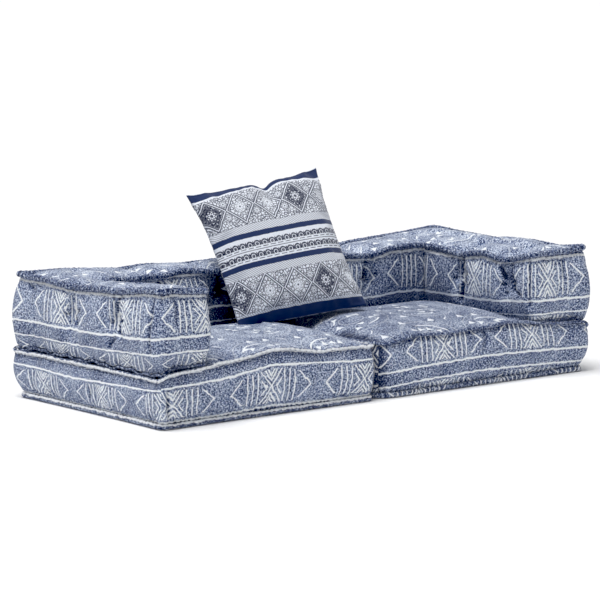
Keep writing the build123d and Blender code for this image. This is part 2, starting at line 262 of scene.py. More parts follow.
def cloth_shader(tree, shader, colour, height, depth):
    """Finishes a matt cotton: colour, sheen of its fuzz, and the weave's relief in metres."""
    tree.links.new(colour, shader.inputs["Base Color"])
    shader.inputs["Roughness"].default_value = 0.92
    shader.inputs["Specular IOR Level"].default_value = 0.2
    shader.inputs["Sheen Weight"].default_value = 0.25
    shader.inputs["Sheen Roughness"].default_value = 0.5
    relief = add(tree, "ShaderNodeBump",
                 sockets={"Strength": 1.0, "Distance": depth, "Height": height})
    tree.links.new(relief.outputs[0], shader.inputs["Normal"])


# %% Woven cotton dobby
# Its plain bands are a touch darker than the ground of its crosses.
woven, tree, shader = material("woven cotton dobby")
cloth = add(tree, "ShaderNodeUVMap", uv_map="cloth").outputs[0]
sway = add(tree, "ShaderNodeTexNoise", cloth, None, 45.0, 2.0, 0.55, **FLAT)
fray = add(tree, "ShaderNodeTexNoise", cloth, None, 520.0, 1.0, 0.5, **FLAT)
parts = add(tree, "ShaderNodeSeparateXYZ", cloth)
wander = ("*", ("-", sway.outputs[0], 0.5), 0.008)
jitter = ("*", ("-", fray.outputs[0], 0.5), 0.0036)
along = reckon(tree, ("+", parts.outputs[0], ("+", wander, jitter)))
up = reckon(tree, ("+", parts.outputs[1], ("-", wander, jitter)))
nearest = motif_distance(tree, along, up)
stroke = add(tree, "ShaderNodeMapRange", nearest, STROKE * 0.80, STROKE * 1.30, 1.0, 0.0,
             **SOFT_EDGE).outputs[0]
plain = (">", ("mod", up, STRIP), MOTIF)
ground, grain = slub_ground(tree, cloth, reckon(tree, ("*", plain, -0.022)))
tone = add(tree, "ShaderNodeMix", **COLOURS,
           sockets={0: stroke, 6: ground, 7: ink("#f8fbff")})
# Painted shade from the fold attribute darkens folds, corners and the back behind the pillow.
tone = fold_shade(tree, tone, stroke)
lift = reckon(tree, ("+", ("*", grain, 0.8), ("*", stroke, 0.7)))
cloth_shader(tree, shader, tone.outputs[2], lift, 0.0012)
print("woven cotton dobby:", len(tree.nodes), "nodes")

# %% [markdown]
# ## The top panels
# The tops of the cushions are cut from another part of the same weave: a paler ground with large
# faint rings, a few bold arcs and small white triangles, as on a flat-woven rug. The design
# repeats every 257 mm, and every row is shifted by half of that. Distance from each
# repeat's middle gives the rings, and the angle round it places the arcs and triangles.

# %% Woven rug top
rug, tree, shader = material("woven cotton rug top")
cloth = add(tree, "ShaderNodeUVMap", uv_map="cloth").outputs[0]
sway = add(tree, "ShaderNodeTexNoise", cloth, None, 40.0, 2.0, 0.55, **FLAT)
parts = add(tree, "ShaderNodeSeparateXYZ", cloth)
wander = ("*", ("-", sway.outputs[0], 0.5), 0.007)
RUG, ENLARGED = 0.190, 0.74  # a repeat as drawn, and how large it is beside the cloth's own
tall = ("*", ("+", parts.outputs[1], wander), ENLARGED)
row = ("floor", ("/", tall, RUG))
across = ("+", ("*", ("+", parts.outputs[0], wander), ENLARGED), ("*", row, RUG / 2))
across = reckon(tree, ("-", ("mod", across, RUG), RUG / 2))
up = reckon(tree, ("-", ("mod", tall, RUG), RUG / 2))
far = reckon(tree, ("sqrt", ("+", ("*", across, across), ("*", up, up))))
column = ("floor", ("/", ("*", parts.outputs[0], ENLARGED), RUG))
lot = add(tree, "ShaderNodeCombineXYZ", reckon(tree, column), reckon(tree, row))
lot = add(tree, "ShaderNodeTexWhiteNoise", lot.outputs[0], **FLAT).outputs["Value"]
turn = reckon(tree, ("+", ("arctan2", up, across), ("*", lot, 5.0)))
sector = reckon(tree, ("fold", ("+", turn, 9.2), math.pi / 5))
rings = ("min", ("abs", ("-", far, 0.029)), ("abs", ("-", far, 0.084)))
arcs = ("max", ("abs", ("-", far, 0.062)),
        ("-", ("fold", ("+", turn, 9.6), math.pi), 0.75))
pennants = ("max", ("-", 0.040, far),
            ("-", ("+", far, ("*", ("*", sector, far), 1.3)), 0.0525))
TILE = 0.060
swayed = [("+", parts.outputs[k], wander) for k in (0, 1)]
tile_x, tile_y = (reckon(tree, ("-", ("mod", s, TILE), TILE / 2)) for s in swayed)
tiles = (reckon(tree, ("floor", ("/", s, TILE))) for s in swayed)
spot = add(tree, "ShaderNodeCombineXYZ", *tiles)
spot = add(tree, "ShaderNodeTexWhiteNoise", spot.outputs[0], **FLAT).outputs["Value"]
chip = ("-", ("max", ("+", ("*", ("abs", tile_x), 0.87), ("*", tile_y, 0.5)),
                     ("-", 0.0, tile_y)), 0.0064)
chip = ("+", chip, ("*", ("<", spot, 0.66), 0.05))
dash = ("max", ("-", ("abs", ("+", tile_x, tile_y)), 0.0026),
        ("-", ("abs", ("-", tile_x, tile_y)), 0.019))
dash = ("+", dash, ("*", (">", ("abs", ("-", spot, 0.50)), 0.14), 0.05))
bold = reckon(tree, ("min", ("min", arcs, ("+", pennants, 0.0015)),
                     ("+", ("min", chip, dash), 0.0012)))
bold = add(tree, "ShaderNodeMapRange", bold, 0.0013, 0.0028, 1.0, 0.0, **SOFT_EDGE)
faint = reckon(tree, rings)
faint = add(tree, "ShaderNodeMapRange", faint, 0.0008, 0.0024, 0.35, 0.0, **SOFT_EDGE)
stroke = reckon(tree, ("max", bold.outputs[0], faint.outputs[0]))
patches = add(tree, "ShaderNodeTexNoise", cloth, None, 21.0, 2.0, 0.5, **FLAT)
worn = reckon(tree, ("*", ("-", patches.outputs[0], 0.36), 0.24))
ground, grain = slub_ground(tree, cloth, worn)
tone = add(tree, "ShaderNodeMix", **COLOURS,
           sockets={0: stroke, 6: ground, 7: ink("#f6faff")})
# Painted shade from the fold attribute darkens the tops' folds and the seats' tops.
tone = fold_shade(tree, tone, stroke)
lift = reckon(tree, ("+", ("*", grain, 0.8), ("*", stroke, 0.6)))
cloth_shader(tree, shader, tone.outputs[2], lift, 0.0012)
print("woven cotton rug top:", len(tree.nodes), "nodes")

# %% [markdown]
# ## The pillow's block print
# The pillow cover is smoother cotton, printed with carved blocks in navy and slate on a pale
# lavender grey. From the top edge down there are a navy band, a lattice of diamonds with
# rosettes, fine slanted ticking, a navy band, two rows of a small border, and the same again
# in mirror order. The smallest border here is a running arch with a dot, a common block
# of Rajasthani printers. Each block is drawn from distances in metres on the pillow's own map.


# %% Block-printed cotton
PILLOW = 0.450
EDGE_UP = PILLOW / 2


def drop(level):
    """A place on the pillow, given as a share of its height from the top edge, in metres."""
    return EDGE_UP - PILLOW * level


def band(up, top, bottom):
    """How far inside a level band a point lies: below 0 is inside, in metres."""
    middle, half = (drop(top) + drop(bottom)) / 2, (drop(top) - drop(bottom)) / 2
    return ("-", ("abs", ("-", up, middle)), half)


def rosette(tree, across, up, radius):
    """Distance to the strokes of a rosette: eight petals, a ring and an eye."""
    far = reckon(tree, ("sqrt", ("+", ("*", across, across), ("*", up, up))))
    turn = reckon(tree, ("arctan2", up, across))
    petal = reckon(tree, ("*", ("abs", ("cosine", ("*", turn, 4.0))), radius * 0.42))
    leaf = ("abs", ("-", far, ("+", petal, radius * 0.45)))
    ring = ("abs", ("-", far, radius * 1.12))
    return reckon(tree, ("min", ("min", leaf, ring), ("-", far, radius * 0.13))), far


printed, tree, shader = material("block-printed cotton")
cloth = add(tree, "ShaderNodeUVMap", uv_map="cloth").outputs[0]
sway = add(tree, "ShaderNodeTexNoise", cloth, None, 60.0, 2.0, 0.5, **FLAT)
parts = add(tree, "ShaderNodeSeparateXYZ", cloth)
slip = ("*", ("-", sway.outputs[0], 0.5), 0.0022)
across = reckon(tree, ("+", parts.outputs[0], slip))
flat_up = reckon(tree, ("-", parts.outputs[1], slip))
# The top edge rolls back in the middle, so the print is laid up to 17 mm further over it there.
rolled = ("*", ("max", 0.0, ("-", 1.0, ("**", ("/", ("abs", across), 0.185), 2.0))), 0.017)
rolled = ("*", rolled, ("min", 1.0, ("max", 0.0, ("/", ("-", flat_up, 0.05), 0.13))))
up = ("mod", ("+", ("-", flat_up, rolled), EDGE_UP), PILLOW)
up = reckon(tree, ("-", up, EDGE_UP))
print("print laid on a pillow of", PILLOW, "m")

# %% Diamonds and rosettes
PITCH = 0.0985
HALF_WIDE, HALF_TALL = 0.0492, 0.055  # a diamond's, to its points
column = reckon(tree, ("-", ("mod", ("+", across, PITCH / 2), PITCH), PITCH / 2))
upper, lower = drop(0.215), drop(0.815)
above = reckon(tree, (">", up, drop(0.5)))
level = reckon(tree, ("+", ("*", ("-", up, upper), above),
                      ("*", ("-", up, lower), ("-", 1.0, above))))
side, rise = reckon(tree, ("abs", column)), reckon(tree, ("abs", level))
diamond = reckon(tree, ("+", ("/", side, HALF_WIDE), ("/", rise, HALF_TALL)))
lines = ("min", ("abs", ("-", diamond, 1.04)), ("abs", ("-", diamond, 0.86)))
lines = reckon(tree, ("-", ("*", lines, 0.033), 0.0005))
bloom, far = rosette(tree, column, level, 0.0165)
spray, far_spray = rosette(tree, ("-", side, HALF_WIDE), ("-", rise, 0.0235), 0.0105)
specks = add(tree, "ShaderNodeTexVoronoi", cloth, None, 98.0, None, None, None, 0.7,
             feature="DISTANCE_TO_EDGE", **FLAT_CELLS)
leaves = reckon(tree, ("*", specks.outputs[0], 0.0088))
whorl = add(tree, "ShaderNodeTexVoronoi", cloth, None, 62.0, None, None, None, 0.9, **FLAT_CELLS)
curl = reckon(tree, ("abs", ("-", ("*", whorl.outputs[0], 0.016), 0.0050)))
sprays = reckon(tree, ("min", ("+", curl, 0.0001), ("+", leaves, 0.0003)))
# Every third diamond has a dark ground.
dark_cell = ("abs", ("-", ("mod", ("+", across, 0.3465), 0.2955), 0.1478))
dark_cell = reckon(tree, ("<", dark_cell, HALF_WIDE))
bloom = reckon(tree, ("-", ("+", bloom, 0.0002), ("*", dark_cell, 0.0017)))
near_bloom = reckon(tree, ("<", far, 0.0200))
near_spray = reckon(tree, ("<", far_spray, 0.0128))
within = ("min", bloom, ("+", ("-", sprays, ("*", dark_cell, 0.0018)),
                             ("*", near_bloom, 0.01)))
around = ("min", spray, ("+", sprays, ("*", near_spray, 0.01)))
within = ("+", within, ("*", (">", diamond, 0.79), 0.02))
around = ("+", around, ("*", ("<", diamond, 1.10), 0.02))
zones = ("min", band(up, 0.095, 0.345), band(up, 0.70, 0.925))
lattice_ink = reckon(tree, ("max", ("min", lines, ("min", within, around)), zones))
print("diamonds every", PITCH, "m")

# %% Small border, ticking and bands
ARCH = 0.0258
step = reckon(tree, ("-", ("mod", across, ARCH), ARCH / 2))
first, second = drop(0.492), drop(0.571)
row_up = reckon(tree, ("+", ("*", ("-", up, first), (">", up, drop(0.53))),
                       ("*", ("-", up, second), ("<", up, drop(0.53)))))
row_far = reckon(tree, ("sqrt", ("+", ("*", step, step), ("*", row_up, row_up))))
arch_ink = ("max", ("-", ("abs", ("-", row_far, 0.0098)), 0.0019),
            ("-", -0.005, row_up))
dot_ink = ("-", row_far, 0.0046)
leaf_ink = ("-", ("+", ("abs", ("-", ("abs", step), ARCH / 2)),
                         ("*", ("abs", ("-", row_up, 0.003)), 0.42)), 0.0034)
foot_ink = ("max", ("-", ("abs", ("+", row_up, 0.0105)), 0.0006),
            ("-", ("abs", step), 0.0085))
border_ink = ("min", ("min", arch_ink, dot_ink), ("min", leaf_ink, foot_ink))
border_ink = reckon(tree, ("max", border_ink, band(up, 0.445, 0.602)))
rule_ink = reckon(tree, band(up, 0.529, 0.5325))

slant = ("fold", ("+", across, up), 0.0042)
ticked = ("min", band(up, 0.345, 0.40), ("min", band(up, 0.645, 0.70), band(up, 0.925, 0.94)))
ticking = reckon(tree, ("max", ("-", slant, 0.0017), ticked))
bands = ("min", ("min", band(up, 0.012, 0.075), band(up, 0.40, 0.437)),
         ("min", band(up, 0.609, 0.646), band(up, 0.942, 0.999)))
bands = reckon(tree, bands)
print("small border: an arch every", ARCH, "m")

# %% Inking the blocks
# Ink is laid where a distance is small, with the soft edge of a hand-pressed block. For each
# block: its distance, where the ink starts to fade and where it is gone, and its strength.
blocks = ((lattice_ink, 0.0007, 0.0015, 1.0), (border_ink, 0.0002, 0.001, 1.0),
          (rule_ink, 0.0, 0.001, 0.85), (ticking, 0.0, 0.0012, 0.5), (bands, -0.0004, 0.0006, 1.0))
lattice_laid, border_laid, rule_laid, ticks_laid, navy = (
    add(tree, "ShaderNodeMapRange", *block, 0.0, **SOFT_EDGE).outputs[0] for block in blocks)
slate = ("max", ("max", lattice_laid, border_laid), ("max", rule_laid, ticks_laid))
slate = reckon(tree, slate)
patchy = add(tree, "ShaderNodeTexNoise", cloth, None, 210.0, 2.0, 0.6, **FLAT)
patch = add(tree, "ShaderNodeMapRange", patchy.outputs[0], 0.35, 0.6, 0.72, 1.0)
slate = reckon(tree, ("*", slate, patch.outputs[0]))
ground = add(tree, "ShaderNodeMix", **COLOURS,
             sockets={0: patchy.outputs[0], 6: ink("#d6deed"), 7: ink("#f8faff")})
tone = ground
for amount, colour in ((slate, "#171e3c"), (navy, "#2f3c62")):
    tone = add(tree, "ShaderNodeMix", **COLOURS,
               sockets={0: amount, 6: tone.outputs[2], 7: ink(colour)})
fine = add(tree, "ShaderNodeTexNoise", cloth, None, 900.0, 1.0, 0.5, **FLAT)
cloth_shader(tree, shader, tone.outputs[2], fine.outputs[0], 0.0004)
print("block-printed cotton:", len(tree.nodes), "nodes")

# %% [markdown]
# ## Plans of the cushions
# A mattress maker cuts a top panel, a bottom panel and a border strip that joins them. The
# meshes are built the same way: a lattice of square patches for each panel, and a border of
# equal patches sewn to both. The lattice keeps the cloth's grain straight, so the print can be
# mapped in real metres, and it folds evenly when the cushion is puffed.
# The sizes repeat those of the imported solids. In a module, u runs from its outer end to the
# split, and v runs from the front to the back.

# %% The two modules
Module = namedtuple("Module", "name side outer length arm arm_tufts back_tufts crown")
FRONT, REAR, BACK_FRONT = -0.365, 0.365, 0.145
SEAT_TOP, FOOT = 0.172, 0.1723
CELL = 0.0085
MODULES = (
    Module("left", 1, -0.8302, 0.795, 0.175, (-0.155, 0.071), (0.370, 0.590), 0.027),
    Module("right", -1, 0.8302, 0.865, 0.230, (-0.259, -0.031), (0.470, 0.695), 0.031),
)
TUFT_UP = 0.2875  # how high the dimples sit over the floor
# How round the plan's corners are: the outer ones, the arm's inner one, those at the split, and
# the seats' front ones, where the two seats meet.
OUTER_ROUND, INNER_ROUND, SPLIT_ROUND = 0.014, 0.016, 0.026
MEETING_ROUND = {"left": 0.022, "right": 0.066}


def tufts_of(module):
    """Every tuft of a bolster, as the side that it is on and its place along that side."""
    pairs = ((("outer", "arm"), module.arm_tufts), (("back", "rear"), module.back_tufts))
    return [(side, place) for sides, places in pairs for side in sides for place in places]


def runs(cell, *stops):
    """Lattice lines about one cell apart that also pass through every stop."""
    lines = [stops[0]]
    for near, far in zip(stops, stops[1:]):
        count = max(2, round((far - near) / cell))
        lines += list(np.linspace(near, far, count + 1)[1:])
    return np.array(lines)


def lattice(us, vs, keep):
    """Points, patches and the anticlockwise rim of the patches that a rule keeps."""
    number, points, patches = {}, [], []

    def at(i, j):
        if (i, j) not in number:
            number[i, j] = len(points)
            points.append((us[i], vs[j]))
        return number[i, j]

    for i in range(len(us) - 1):
        for j in range(len(vs) - 1):
            if keep((us[i] + us[i + 1]) / 2, (vs[j] + vs[j + 1]) / 2):
                patches.append((at(i, j), at(i + 1, j), at(i + 1, j + 1), at(i, j + 1)))
    ways = {(a, b) for p in patches for a, b in zip(p, p[1:] + p[:1])}
    follow = {a: b for a, b in ways if (b, a) not in ways}
    rim = [min(follow)]
    while follow[rim[-1]] != rim[0]:
        rim.append(follow[rim[-1]])
    return np.array(points), patches, rim


def plan_of(module, bolster, cell=CELL):
    """The lattice of a seat or an L-shaped bolster, and how its outline moves when drawn in."""
    arm, length = module.arm, module.length
    cut = lattice(runs(cell, 0, arm, length), runs(cell, FRONT, BACK_FRONT, REAR),
                  lambda u, v: not bolster or u < arm or v > BACK_FRONT)

    def drawn(points, inset):
        left, right, near, far = inset, length - inset, FRONT + inset, REAR - inset
        across, deep = [(0, left), (length, right)], [(FRONT, near), (REAR, far)]
        if bolster:
            across.insert(1, (arm, arm - inset))
            deep.insert(1, (BACK_FRONT, BACK_FRONT + inset))
            front = [(arm - inset, near, -1, 1, INNER_ROUND),
                     (right, BACK_FRONT + inset, -1, 1, SPLIT_ROUND)]
        else:
            front = [(right, near, -1, 1, MEETING_ROUND[module.name])]
        ends = [(left, near, 1, 1, OUTER_ROUND), *front, (right, far, -1, -1, SPLIT_ROUND),
                (left, far, 1, -1, OUTER_ROUND)]
        u, v = (np.interp(points[:, k], *zip(*stops)) for k, stops in enumerate((across, deep)))
        return rounded(np.stack([u, v], 1), ends)

    return cut, drawn


def rounded(points, ends):
    """Pushes the square corners of a plan in to a round, evenly over the patches there."""
    for u, v, su, sv, radius in ends:
        a, b = (points[:, 0] - u) * su, (points[:, 1] - v) * sv
        near = (a < radius) & (b < radius) & (a > -1e-6) & (b > -1e-6)
        x, y = 1 - a[near] / radius, 1 - b[near] / radius
        points[near, 0] = u + su * radius * (1 - x * np.sqrt(1 - y * y / 2))
        points[near, 1] = v + sv * radius * (1 - y * np.sqrt(1 - x * x / 2))
    return points


for module in MODULES:
    (points, patches, rim), drawn = plan_of(module, True)
    print(module.name, "bolster panel:", len(patches), "patches, rim of", len(rim))

# %% [markdown]
# ## How high the seams run
# No seam of a hand-filled mattress is straight. The corners stand up, because the filling is
# packed into them, and between them the edge sags and dips at each tuft. The heights below were
# read from the sofa, in metres along each side, and the lattice's rim takes them, smoothed.

# %% Seam heights
TOP_SEAMS = {
    "left": {
        "outer": ((-0.365, 0.386), (-0.278, 0.381), (-0.155, 0.364), (-0.05, 0.362), (0.071, 0.352),
                  (0.213, 0.361), (0.32, 0.360), (0.365, 0.366)),
        "front": ((0.0, 0.382), (0.043, 0.386), (0.08, 0.381), (0.175, 0.375)),
        "arm": ((-0.365, 0.372), (-0.21, 0.360), (-0.155, 0.349), (-0.05, 0.358), (0.071, 0.343),
                (0.145, 0.350)),
        "back": ((0.175, 0.351), (0.285, 0.344), (0.34, 0.350), (0.37, 0.344), (0.47, 0.357),
                 (0.59, 0.343), (0.68, 0.353), (0.795, 0.350)),
        "rear": ((0.0, 0.362), (0.16, 0.360), (0.37, 0.345), (0.48, 0.350), (0.59, 0.341),
                 (0.795, 0.345)),
    },
    "right": {
        "outer": ((-0.365, 0.388), (-0.259, 0.374), (-0.12, 0.382), (-0.031, 0.370), (0.2, 0.378),
                  (0.365, 0.386)),
        "front": ((0.0, 0.384), (0.08, 0.380), (0.16, 0.378), (0.230, 0.380)),
        "arm": ((-0.365, 0.378), (-0.30, 0.364), (-0.259, 0.350), (-0.21, 0.350), (-0.133, 0.364),
                (-0.06, 0.352), (-0.031, 0.345), (0.02, 0.353), (0.08, 0.360), (0.145, 0.359)),
        "back": ((0.230, 0.361), (0.272, 0.364), (0.36, 0.363), (0.40, 0.358), (0.447, 0.346),
                 (0.47, 0.342), (0.52, 0.348), (0.60, 0.355), (0.695, 0.343), (0.865, 0.352)),
        "rear": ((0.0, 0.384), (0.19, 0.371), (0.38, 0.360), (0.47, 0.348), (0.60, 0.356),
                 (0.695, 0.344), (0.865, 0.348)),
    },
}
SEAT_SEAMS = {
    "left": ((0.0, 0.156), (0.15, 0.163), (0.20, 0.172), (0.282, 0.177), (0.393, 0.193),
             (0.461, 0.191), (0.576, 0.171), (0.70, 0.172), (0.795, 0.166)),
    "right": ((0.0, 0.161), (0.12, 0.164), (0.20, 0.172), (0.25, 0.180), (0.35, 0.188),
              (0.38, 0.181), (0.496, 0.180), (0.584, 0.175), (0.718, 0.183), (0.82, 0.167),
              (0.865, 0.166)),
}
SAG = {"outer": 0.026, "rear": 0.015, "front": 0.005}
SPLIT_SEAM, OVER_SEAM = 0.350, 0.004
EVEN_SEAT = {"outer": 0.141, "rear": 0.151, "split": 0.168}


def sag_under(module, u, v):
    """How far the joint between a seat and its bolster hangs down near the outline, in metres."""
    gaps = {"outer": u, "rear": REAR - v, "front": np.where(u < module.arm + 0.02, v - FRONT, 9)}
    uneven = 1 + 0.15 * np.sin(41 * (u + v)) + 0.11 * np.sin(97 * (u + v) + 1)
    sags = [SAG[k] * np.exp(-(np.maximum(g, 0) / 0.03) ** 2) for k, g in gaps.items()]
    return np.max(sags, axis=0) * uneven


def side_of(module, u, v, bolster):
    """Which side of the outline a rim point is on, and how far along that side."""
    gaps = {"outer": u, "front": v - FRONT, "rear": REAR - v, "split": module.length - u}
    if bolster:
        gaps["front"] = v - FRONT if u < module.arm + 0.001 else 1
        if v < BACK_FRONT + 0.001:
            gaps["arm"] = abs(u - module.arm)
        if u > module.arm - 0.001:
            gaps["back"] = abs(v - BACK_FRONT)
    side = min(gaps, key=gaps.get)
    return side, (v if side in ("outer", "arm", "split") else u)


def smooth_loop(values, spread):
    """Smooths values round a closed seam over about that many points."""
    reach = np.arange(-int(3 * spread), int(3 * spread) + 1)
    weight = np.exp(-0.5 * (reach / spread) ** 2)
    count = len(values)
    turned = values[(np.arange(count)[:, None] + reach) % count]
    return (turned * weight).sum(1) / weight.sum()


def seam_top(module, u, v, bolster):
    """How high the top seam runs at a point of the rim."""
    side, place = side_of(module, u, v, bolster)
    if bolster:
        if side == "split":
            return SPLIT_SEAM
        return float(np.interp(place, *zip(*TOP_SEAMS[module.name][side]))) + OVER_SEAM
    if side == "front":
        return float(np.interp(place, *zip(*SEAT_SEAMS[module.name])))
    return EVEN_SEAT[side]


for module in MODULES:
    front = [seam_top(module, u, FRONT, False) for u in np.linspace(0, module.length, 9)]
    print(module.name, "seat's front seam:", np.round(front, 3))


# %% [markdown]
# ## Where the strips fall on each side
# The sewer laid each border strip so that a cross does not always meet a corner. For each side
# the first number is where the middle of a cross falls, and the second is the repeat there: a
# gathered side takes up cloth, so its repeat is shorter than the 342 mm of flat cloth.
# The second table gives, along each side, how high the two white lines of the strip run: the
# line above the crosses and the line below them. Where a strip was pieced, the third table says
# from where on the cloth starts again at another cross.

# %% Strip places
REPEAT = 2 * HALF_REPEAT
STRIPS = {
    ("left", True): {"outer": (-0.200, 0.323), "front": (0.146, 0.342), "arm": (-0.12, 0.342),
                     "back": (0.420, 0.342), "rear": (0.15, 0.342), "split": (0.26, 0.342)},
    ("right", True): {"outer": (-0.10, 0.342), "front": (0.175, 0.342), "arm": (-0.101, 0.300),
                      "back": (0.247, 0.342), "rear": (0.15, 0.342), "split": (0.26, 0.342)},
    ("left", False): {"outer": (-0.073, 0.296), "front": (0.037, 0.352), "rear": (0.10, 0.342),
                      "split": (0.0, 0.342)},
    ("right", False): {"outer": (0.05, 0.342), "front": (0.235, 0.367), "rear": (0.10, 0.342),
                       "split": (0.0, 0.342)},
}
LINES = {
    ("left", True): {
        "outer": ((-0.365, 0.380, 0.262), (-0.278, 0.377, 0.254), (-0.167, 0.360, 0.248),
                  (-0.05, 0.357, 0.244), (0.063, 0.348, 0.241), (0.213, 0.357, 0.241),
                  (0.319, 0.356, 0.240), (0.365, 0.362, 0.239)),
        "front": ((0.0, 0.376, 0.265), (0.043, 0.382, 0.264), (0.08, 0.377, 0.263),
                  (0.175, 0.370, 0.261)),
        "arm": ((-0.365, 0.368, 0.256), (0.145, 0.346, 0.247)),
    },
    ("right", True): {
        "outer": ((-0.365, 0.373, 0.240), (0.365, 0.373, 0.240)),
        "front": ((0.0, 0.373, 0.240), (0.23, 0.373, 0.244)),
        "arm": ((-0.353, 0.372, 0.243), (-0.286, 0.359, 0.236), (-0.21, 0.346, 0.229),
                (-0.133, 0.360, 0.225), (-0.04, 0.345, 0.225), (0.145, 0.354, 0.224)),
        "back": ((0.23, 0.357, 0.226), (0.272, 0.360, 0.229), (0.378, 0.358, 0.229),
                 (0.447, 0.342, 0.221), (0.585, 0.350, 0.225), (0.865, 0.346, 0.230)),
    },
    ("left", False): {
        "outer": ((-0.365, 0.118, 0.020), (-0.282, 0.109, 0.018), (0.068, 0.097, 0.018),
                  (0.365, 0.106, 0.018)),
        "front": ((0.0, 0.122, 0.021), (0.136, 0.124, 0.021), (0.227, 0.129, 0.021),
                  (0.319, 0.141, 0.025), (0.401, 0.150, 0.028), (0.507, 0.143, 0.023),
                  (0.728, 0.129, 0.019), (0.795, 0.128, 0.019)),
    },
    ("right", False): {
        "front": ((0.0, 0.185, 0.080), (0.202, 0.193, 0.088), (0.447, 0.199, 0.094),
                  (0.684, 0.193, 0.088), (0.865, 0.181, 0.077)),
    },
}
EVEN_LINES = {("left", True): (0.352, 0.247), ("right", True): (0.352, 0.240),
              ("left", False): (0.126, 0.021), ("right", False): (0.190, 0.085)}
PIECED = {("right", True, "back"): (0.305, 0.359)}
print("strips laid on", sum(len(sides) for sides in STRIPS.values()), "sides")


def strip_along(module, bolster, side, place, middle):
    """How far along the woven strip a place on a side lies, in metres of flat cloth."""
    first, repeat = STRIPS[module.name, bolster][side]
    start, again = PIECED.get((module.name, bolster, side), (9, 0))
    if side == "back" and middle < start < 9:
        first = again
    return (place - first) * REPEAT / repeat


def strip_up(module, bolster, side, place, z, crest):
    """The strip's own height at z on a side: 0 on the line below the crosses, MOTIF above them."""
    table = LINES.get((module.name, bolster), {}).get(side)
    if table:
        places, *levels = zip(*table)
        high, low = (float(np.interp(place, places, level)) for level in levels)
    else:
        high, low = EVEN_LINES[module.name, bolster]
    if bolster and z < low - PLAIN_BAND:  # the gathered foot takes up more cloth
        return -PLAIN_BAND - (low - PLAIN_BAND - z) * 1.8
    if z > high and module.name == "left" and not bolster:
        return MOTIF + (z - high) * PLAIN_BAND / (crest - 0.0045 - high)
    scale = MOTIF / (high - low) if z > low else 1.0
    return (z - low) * scale


# %% [markdown]
# ## Sewing and puffing a cover
# A cover starts as its flat pattern: bottom, border and top. The border leans in to both seams,
# the top has its crown, and at every tuft the twine has pulled the cloth in to the foam. Then a
# cloth simulation inflates it a little while the seams and the tufts are held. That is how the
# real wadding works against its cover, and it gives the drag lines that run out from each tuft,
# which no formula gives as well. No point may leave its place by more than a set cap.


# %% Building a cover
def arch(share):
    return 1 - (2 * share - 1) ** 2


def clear_of(points, spots, reach):
    """The distance from each point to the nearest of some spots, no more than reach."""
    tree = KDTree(len(spots))
    for k, spot in enumerate(spots):
        tree.insert((spot[0], spot[1], 0), k)
    tree.balance()
    found = [tree.find((p[0], p[1], 0)) for p in points]
    return np.array([min(f[2], reach) for f in found]), np.array([f[1] for f in found])


# Rows of patches in a border, and how far its bottom panel, its bottom and its top are drawn in.
ROWS, FOOT_IN, LOW_IN, TOP_IN = 22, 0.024, 0.014, 0.010
STUFFED = 0.017  # how far a packed corner stands out


